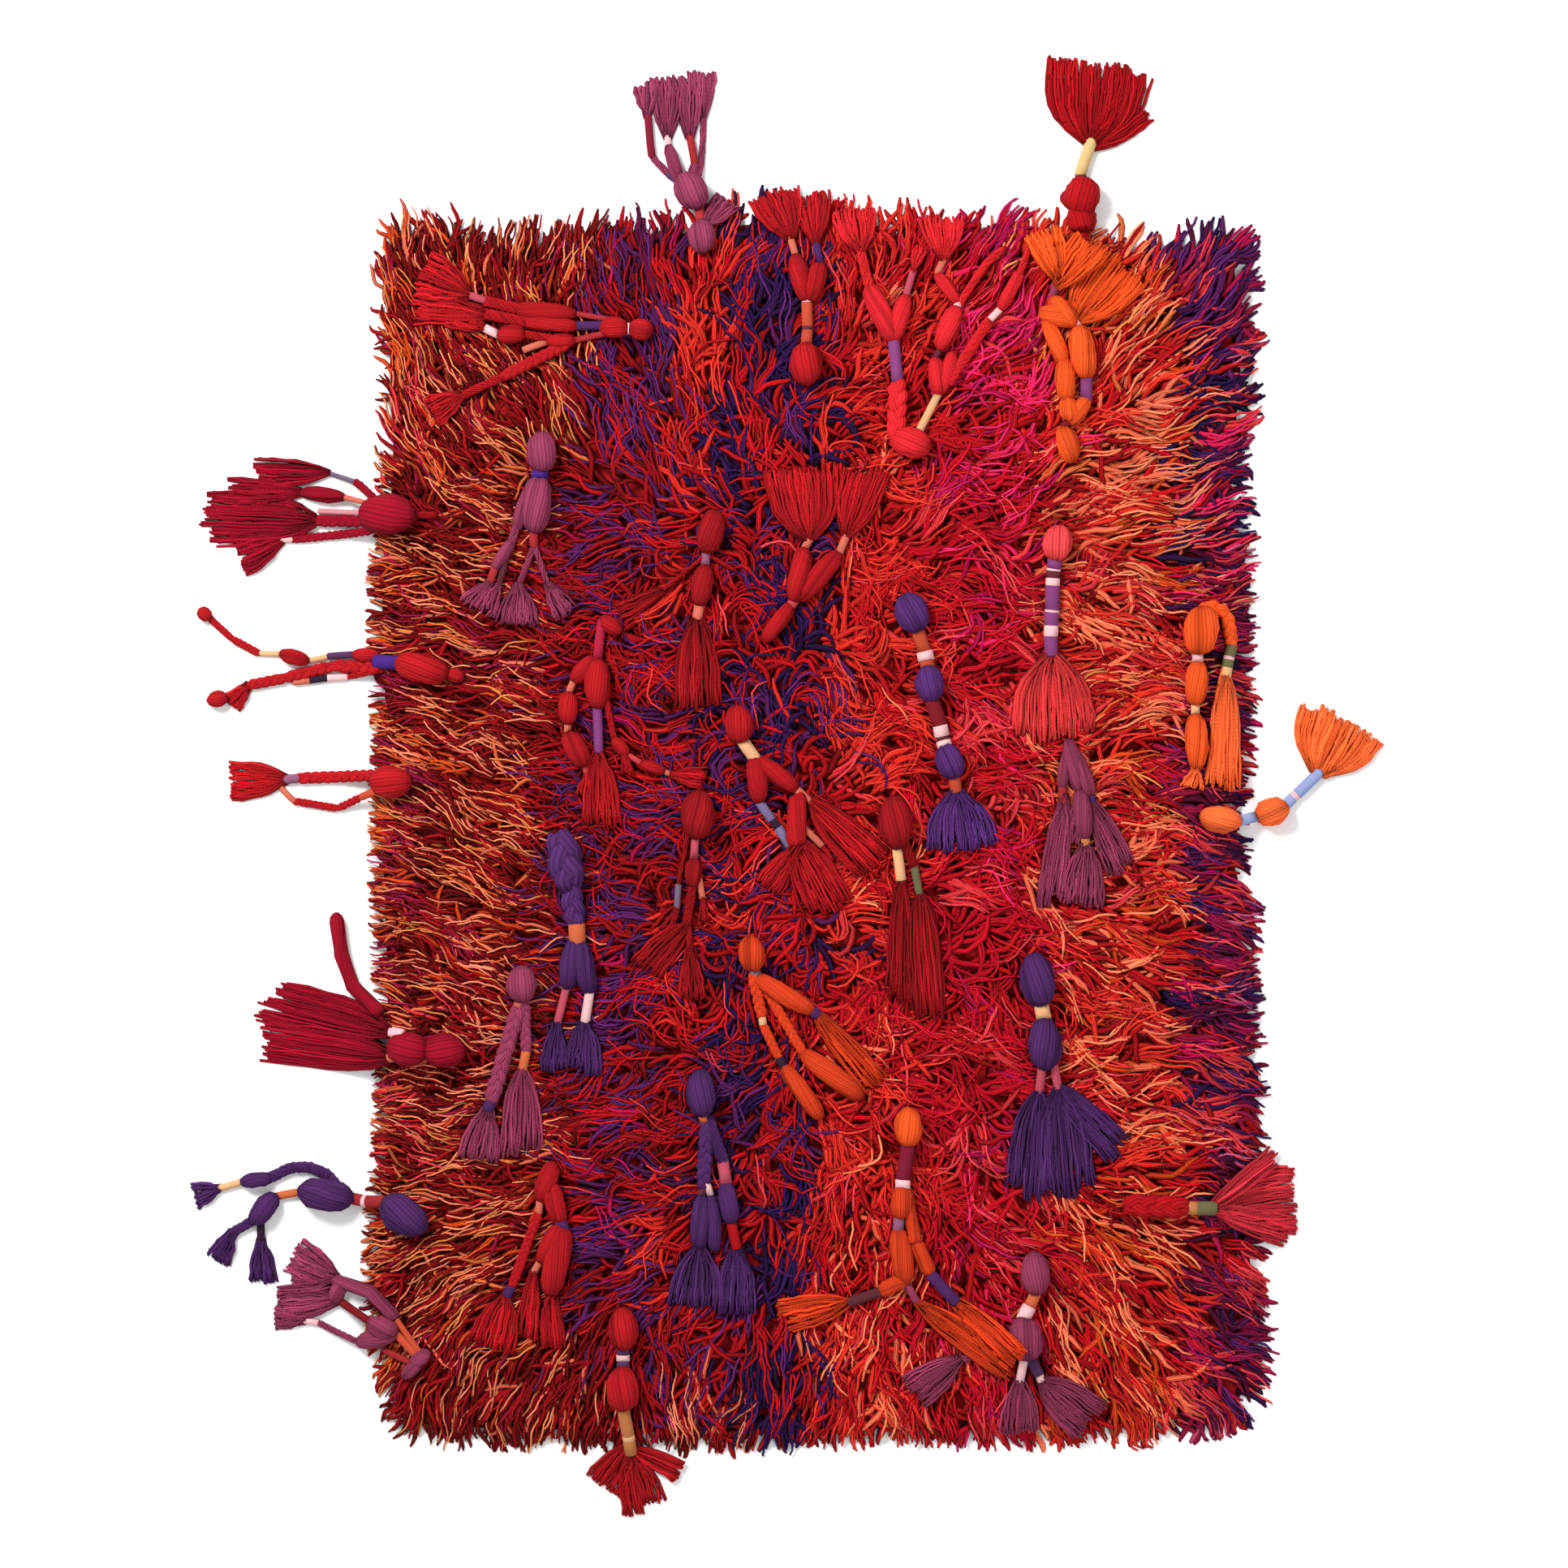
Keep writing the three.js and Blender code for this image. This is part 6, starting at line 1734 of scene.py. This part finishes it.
def plain(name, surface):
    """A material of one roughness and shine, with its tree and its shader."""
    material = bpy.data.materials.new(name)
    material.use_nodes = True
    shader = material.node_tree.nodes["Principled BSDF"]
    roughness, specular = SURFACES[surface]
    shader.inputs["Roughness"].default_value = roughness
    shader.inputs["Specular IOR Level"].default_value = specular
    return material, material.node_tree, shader


def look(tree, shader, colour, height, relief, bump=1):
    """Links a colour and, as a bump, a height to the shader."""
    given = {"Height": height, "Distance": relief * MM, "Strength": bump}
    tree.links.new(node_of(tree, "ShaderNodeBump", given)[0], shader.inputs["Normal"])
    tree.links.new(colour, shader.inputs["Base Color"])


def dyed(tree, tone):
    """The dye of the mesh's points, scaled by a tone."""
    dye = node_of(tree, "ShaderNodeAttribute", {}, attribute_name="dye")["Color"]
    return vector_node(tree, "SCALE", {0: dye, "Scale": tone})


def wool(name, group, relief, **spun):
    """Dyed wool: the dye of the yarn, toned by the ridges of its spinning: painted shade in the grooves.
    """
    material, tree, shader = plain(name, "wool")
    ridges = node_of(tree, "ShaderNodeGroup", spun, node_tree=group)
    look(tree, shader, dyed(tree, ridges["Tone"]), ridges["Height"], relief, WOOL.bump)
    return material


def bed_material():
    """The pile's roots: streaks that run outwards as the pile does, from noise read at the
    way from the pile's middle and the distance from it."""
    material, tree, shader = plain("Pile_roots", "roots")
    middle = (*(place_of(FLOW["u"], FLOW["v"]) * MM), 0)
    off = vector_node(tree, "SUBTRACT", {0: own_place(tree), 1: middle})
    flat = vector_node(tree, "MULTIPLY", {0: off, 1: (1, 1, 0)})
    way = vector_node(tree, "NORMALIZE", {0: flat})
    wide = vector_node(tree, "SCALE", {0: way, "Scale": STREAKS.across})
    far = math_node(tree, "MULTIPLY", vector_node(tree, "LENGTH", {0: flat}, "Value"), STREAKS.out)
    lift = node_of(tree, "ShaderNodeCombineXYZ", {2: far})[0]
    streaks = noise(tree, vector_node(tree, "ADD", {0: wide, 1: lift}), 1, STREAKS.detail)
    tone = math_node(tree, "MULTIPLY_ADD", streaks, STREAKS.strong, STREAKS.less)
    colour = dyed(tree, math_node(tree, "MAXIMUM", tone, STREAKS.darkest))
    look(tree, shader, colour, streaks, STREAKS.relief)
    return material


def ground_material():
    """Dark red ground cloth in a plain weave: two sines across each other."""
    material, tree, shader = plain("Ground_weave", "weave")
    place = own_place(tree)
    parts = node_of(tree, "ShaderNodeSeparateXYZ", {0: place})
    rates = [math_node(tree, "MULTIPLY", parts[axis], WEAVE["rate"]) for axis in (0, 1)]
    weave = math_node(tree, "MULTIPLY", *[math_node(tree, "SINE", rate) for rate in rates])
    share = math_node(tree, "MULTIPLY_ADD", weave, WEAVE["share"], noise(tree, place, WEAVE["mottle"]))
    dark, light = ((*linear(WEAVE[name]), 1) for name in ("dark", "light"))
    colour = node_of(tree, "ShaderNodeMix", {0: share, 6: dark, 7: light}, data_type="RGBA")[2]
    look(tree, shader, colour, weave, WEAVE["relief"])
    return material


# Studio
STUDIO = Named(
    camera=(-41.5, 61.5), away=6.44, above=20, lens=120, sensor=36, floor=9.0, floor_tone=0.86,
    sky=0.7,
)
Lamp = namedtuple("Lamp", "name size power place")
LAMPS = [
    Lamp("key_light", 1.4, 230, (-2.0, 2.2, 3.2)),
    Lamp("fill_light", 3.0, 60, (2.6, -1.2, 3.6)),
]


def make_studio():
    """A pale floor, soft lamps aimed at the rug and an even sky."""
    half = STUDIO.floor / 2
    mesh = bpy.data.meshes.new("studio_floor")
    corners = [(-half, -half, 0), (half, -half, 0), (half, half, 0), (-half, half, 0)]
    mesh.from_pydata(corners, [], [(0, 1, 2, 3)])
    material, _, shader = plain("Pale_floor", "floor")
    shader.inputs["Base Color"].default_value = (*[STUDIO.floor_tone] * 3, 1)
    mesh.materials.append(material)
    world = bpy.data.worlds.new("Even_sky")
    world.use_nodes = True
    world.node_tree.nodes["Background"].inputs["Color"].default_value = (1, 1, 1, 1)
    world.node_tree.nodes["Background"].inputs["Strength"].default_value = STUDIO.sky
    bpy.context.scene.world = world
    for lamp in LAMPS:
        light = bpy.data.lights.new(lamp.name, "AREA")
        light.size, light.energy = lamp.size, lamp.power
        made = in_scene(lamp.name, light)
        made.location = lamp.place
        made.rotation_euler = Vector(lamp.place).to_track_quat("Z", "Y").to_euler()
    return in_scene("studio_floor", mesh)


def make_camera():
    """Straight above the middle of the photograph's frame."""
    lens = bpy.data.cameras.new("overhead")
    lens.lens, lens.sensor_width = STUDIO.lens, STUDIO.sensor
    camera = in_scene("overhead", lens)
    x, y = STUDIO.camera
    camera.location = (x * MM, y * MM, STUDIO.away + STUDIO.above * MM)
    bpy.context.scene.camera = camera


# The rug
make_camera()
floor = make_studio()
bpy.context.scene.view_settings.view_transform = "Standard"

ridges = twist_group()
pile_wools = [
    wool("Lying_yarn", ridges, 0.5, Pitch=7, Climb=2, Fibre=0.5, Deep=0.34),
    wool("Lying_locks", ridges, 1.2, Pitch=260, Climb=4.5, Fibre=0.5, Deep=1.15),
]
tassel_wools = [  # in the order of LOOSE, THREAD, GATHERED and PLAITED
    wool("Tassel_wool", ridges, 0.5, Pitch=5, Climb=2, Fibre=0.4, Deep=0.34),
    wool("Wound_thread", ridges, 0.35, Pitch=1.3, Climb=1, Fibre=0.15, Deep=0.34),
    wool("Gathered_yarn", ridges, 1.0, Pitch=600, Climb=24, Fibre=0.6, Deep=0.45),
    wool("Plaited_yarn", ridges, 0.9, Pitch=70, Climb=9, Fibre=0.5, Deep=0.6),
]

cloth = make_ground(ground_material())
top = pile_top(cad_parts)
bed = make_bed(bed_material(), top, np.random.default_rng(SEEDS["bed"]))
pile = make_pile(pile_wools, top, np.random.default_rng(SEEDS["pile"]))
tassels = make_tassels(tassel_wools, np.random.default_rng(SEEDS["tassels"]))

for piece in [cloth, bed, *pile]:
    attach(piece, "root")
    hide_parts("rug")
for one in TASSELS:
    node = f"tassel_{one.name}"
    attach(tassels[node], "root")
    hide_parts(node)
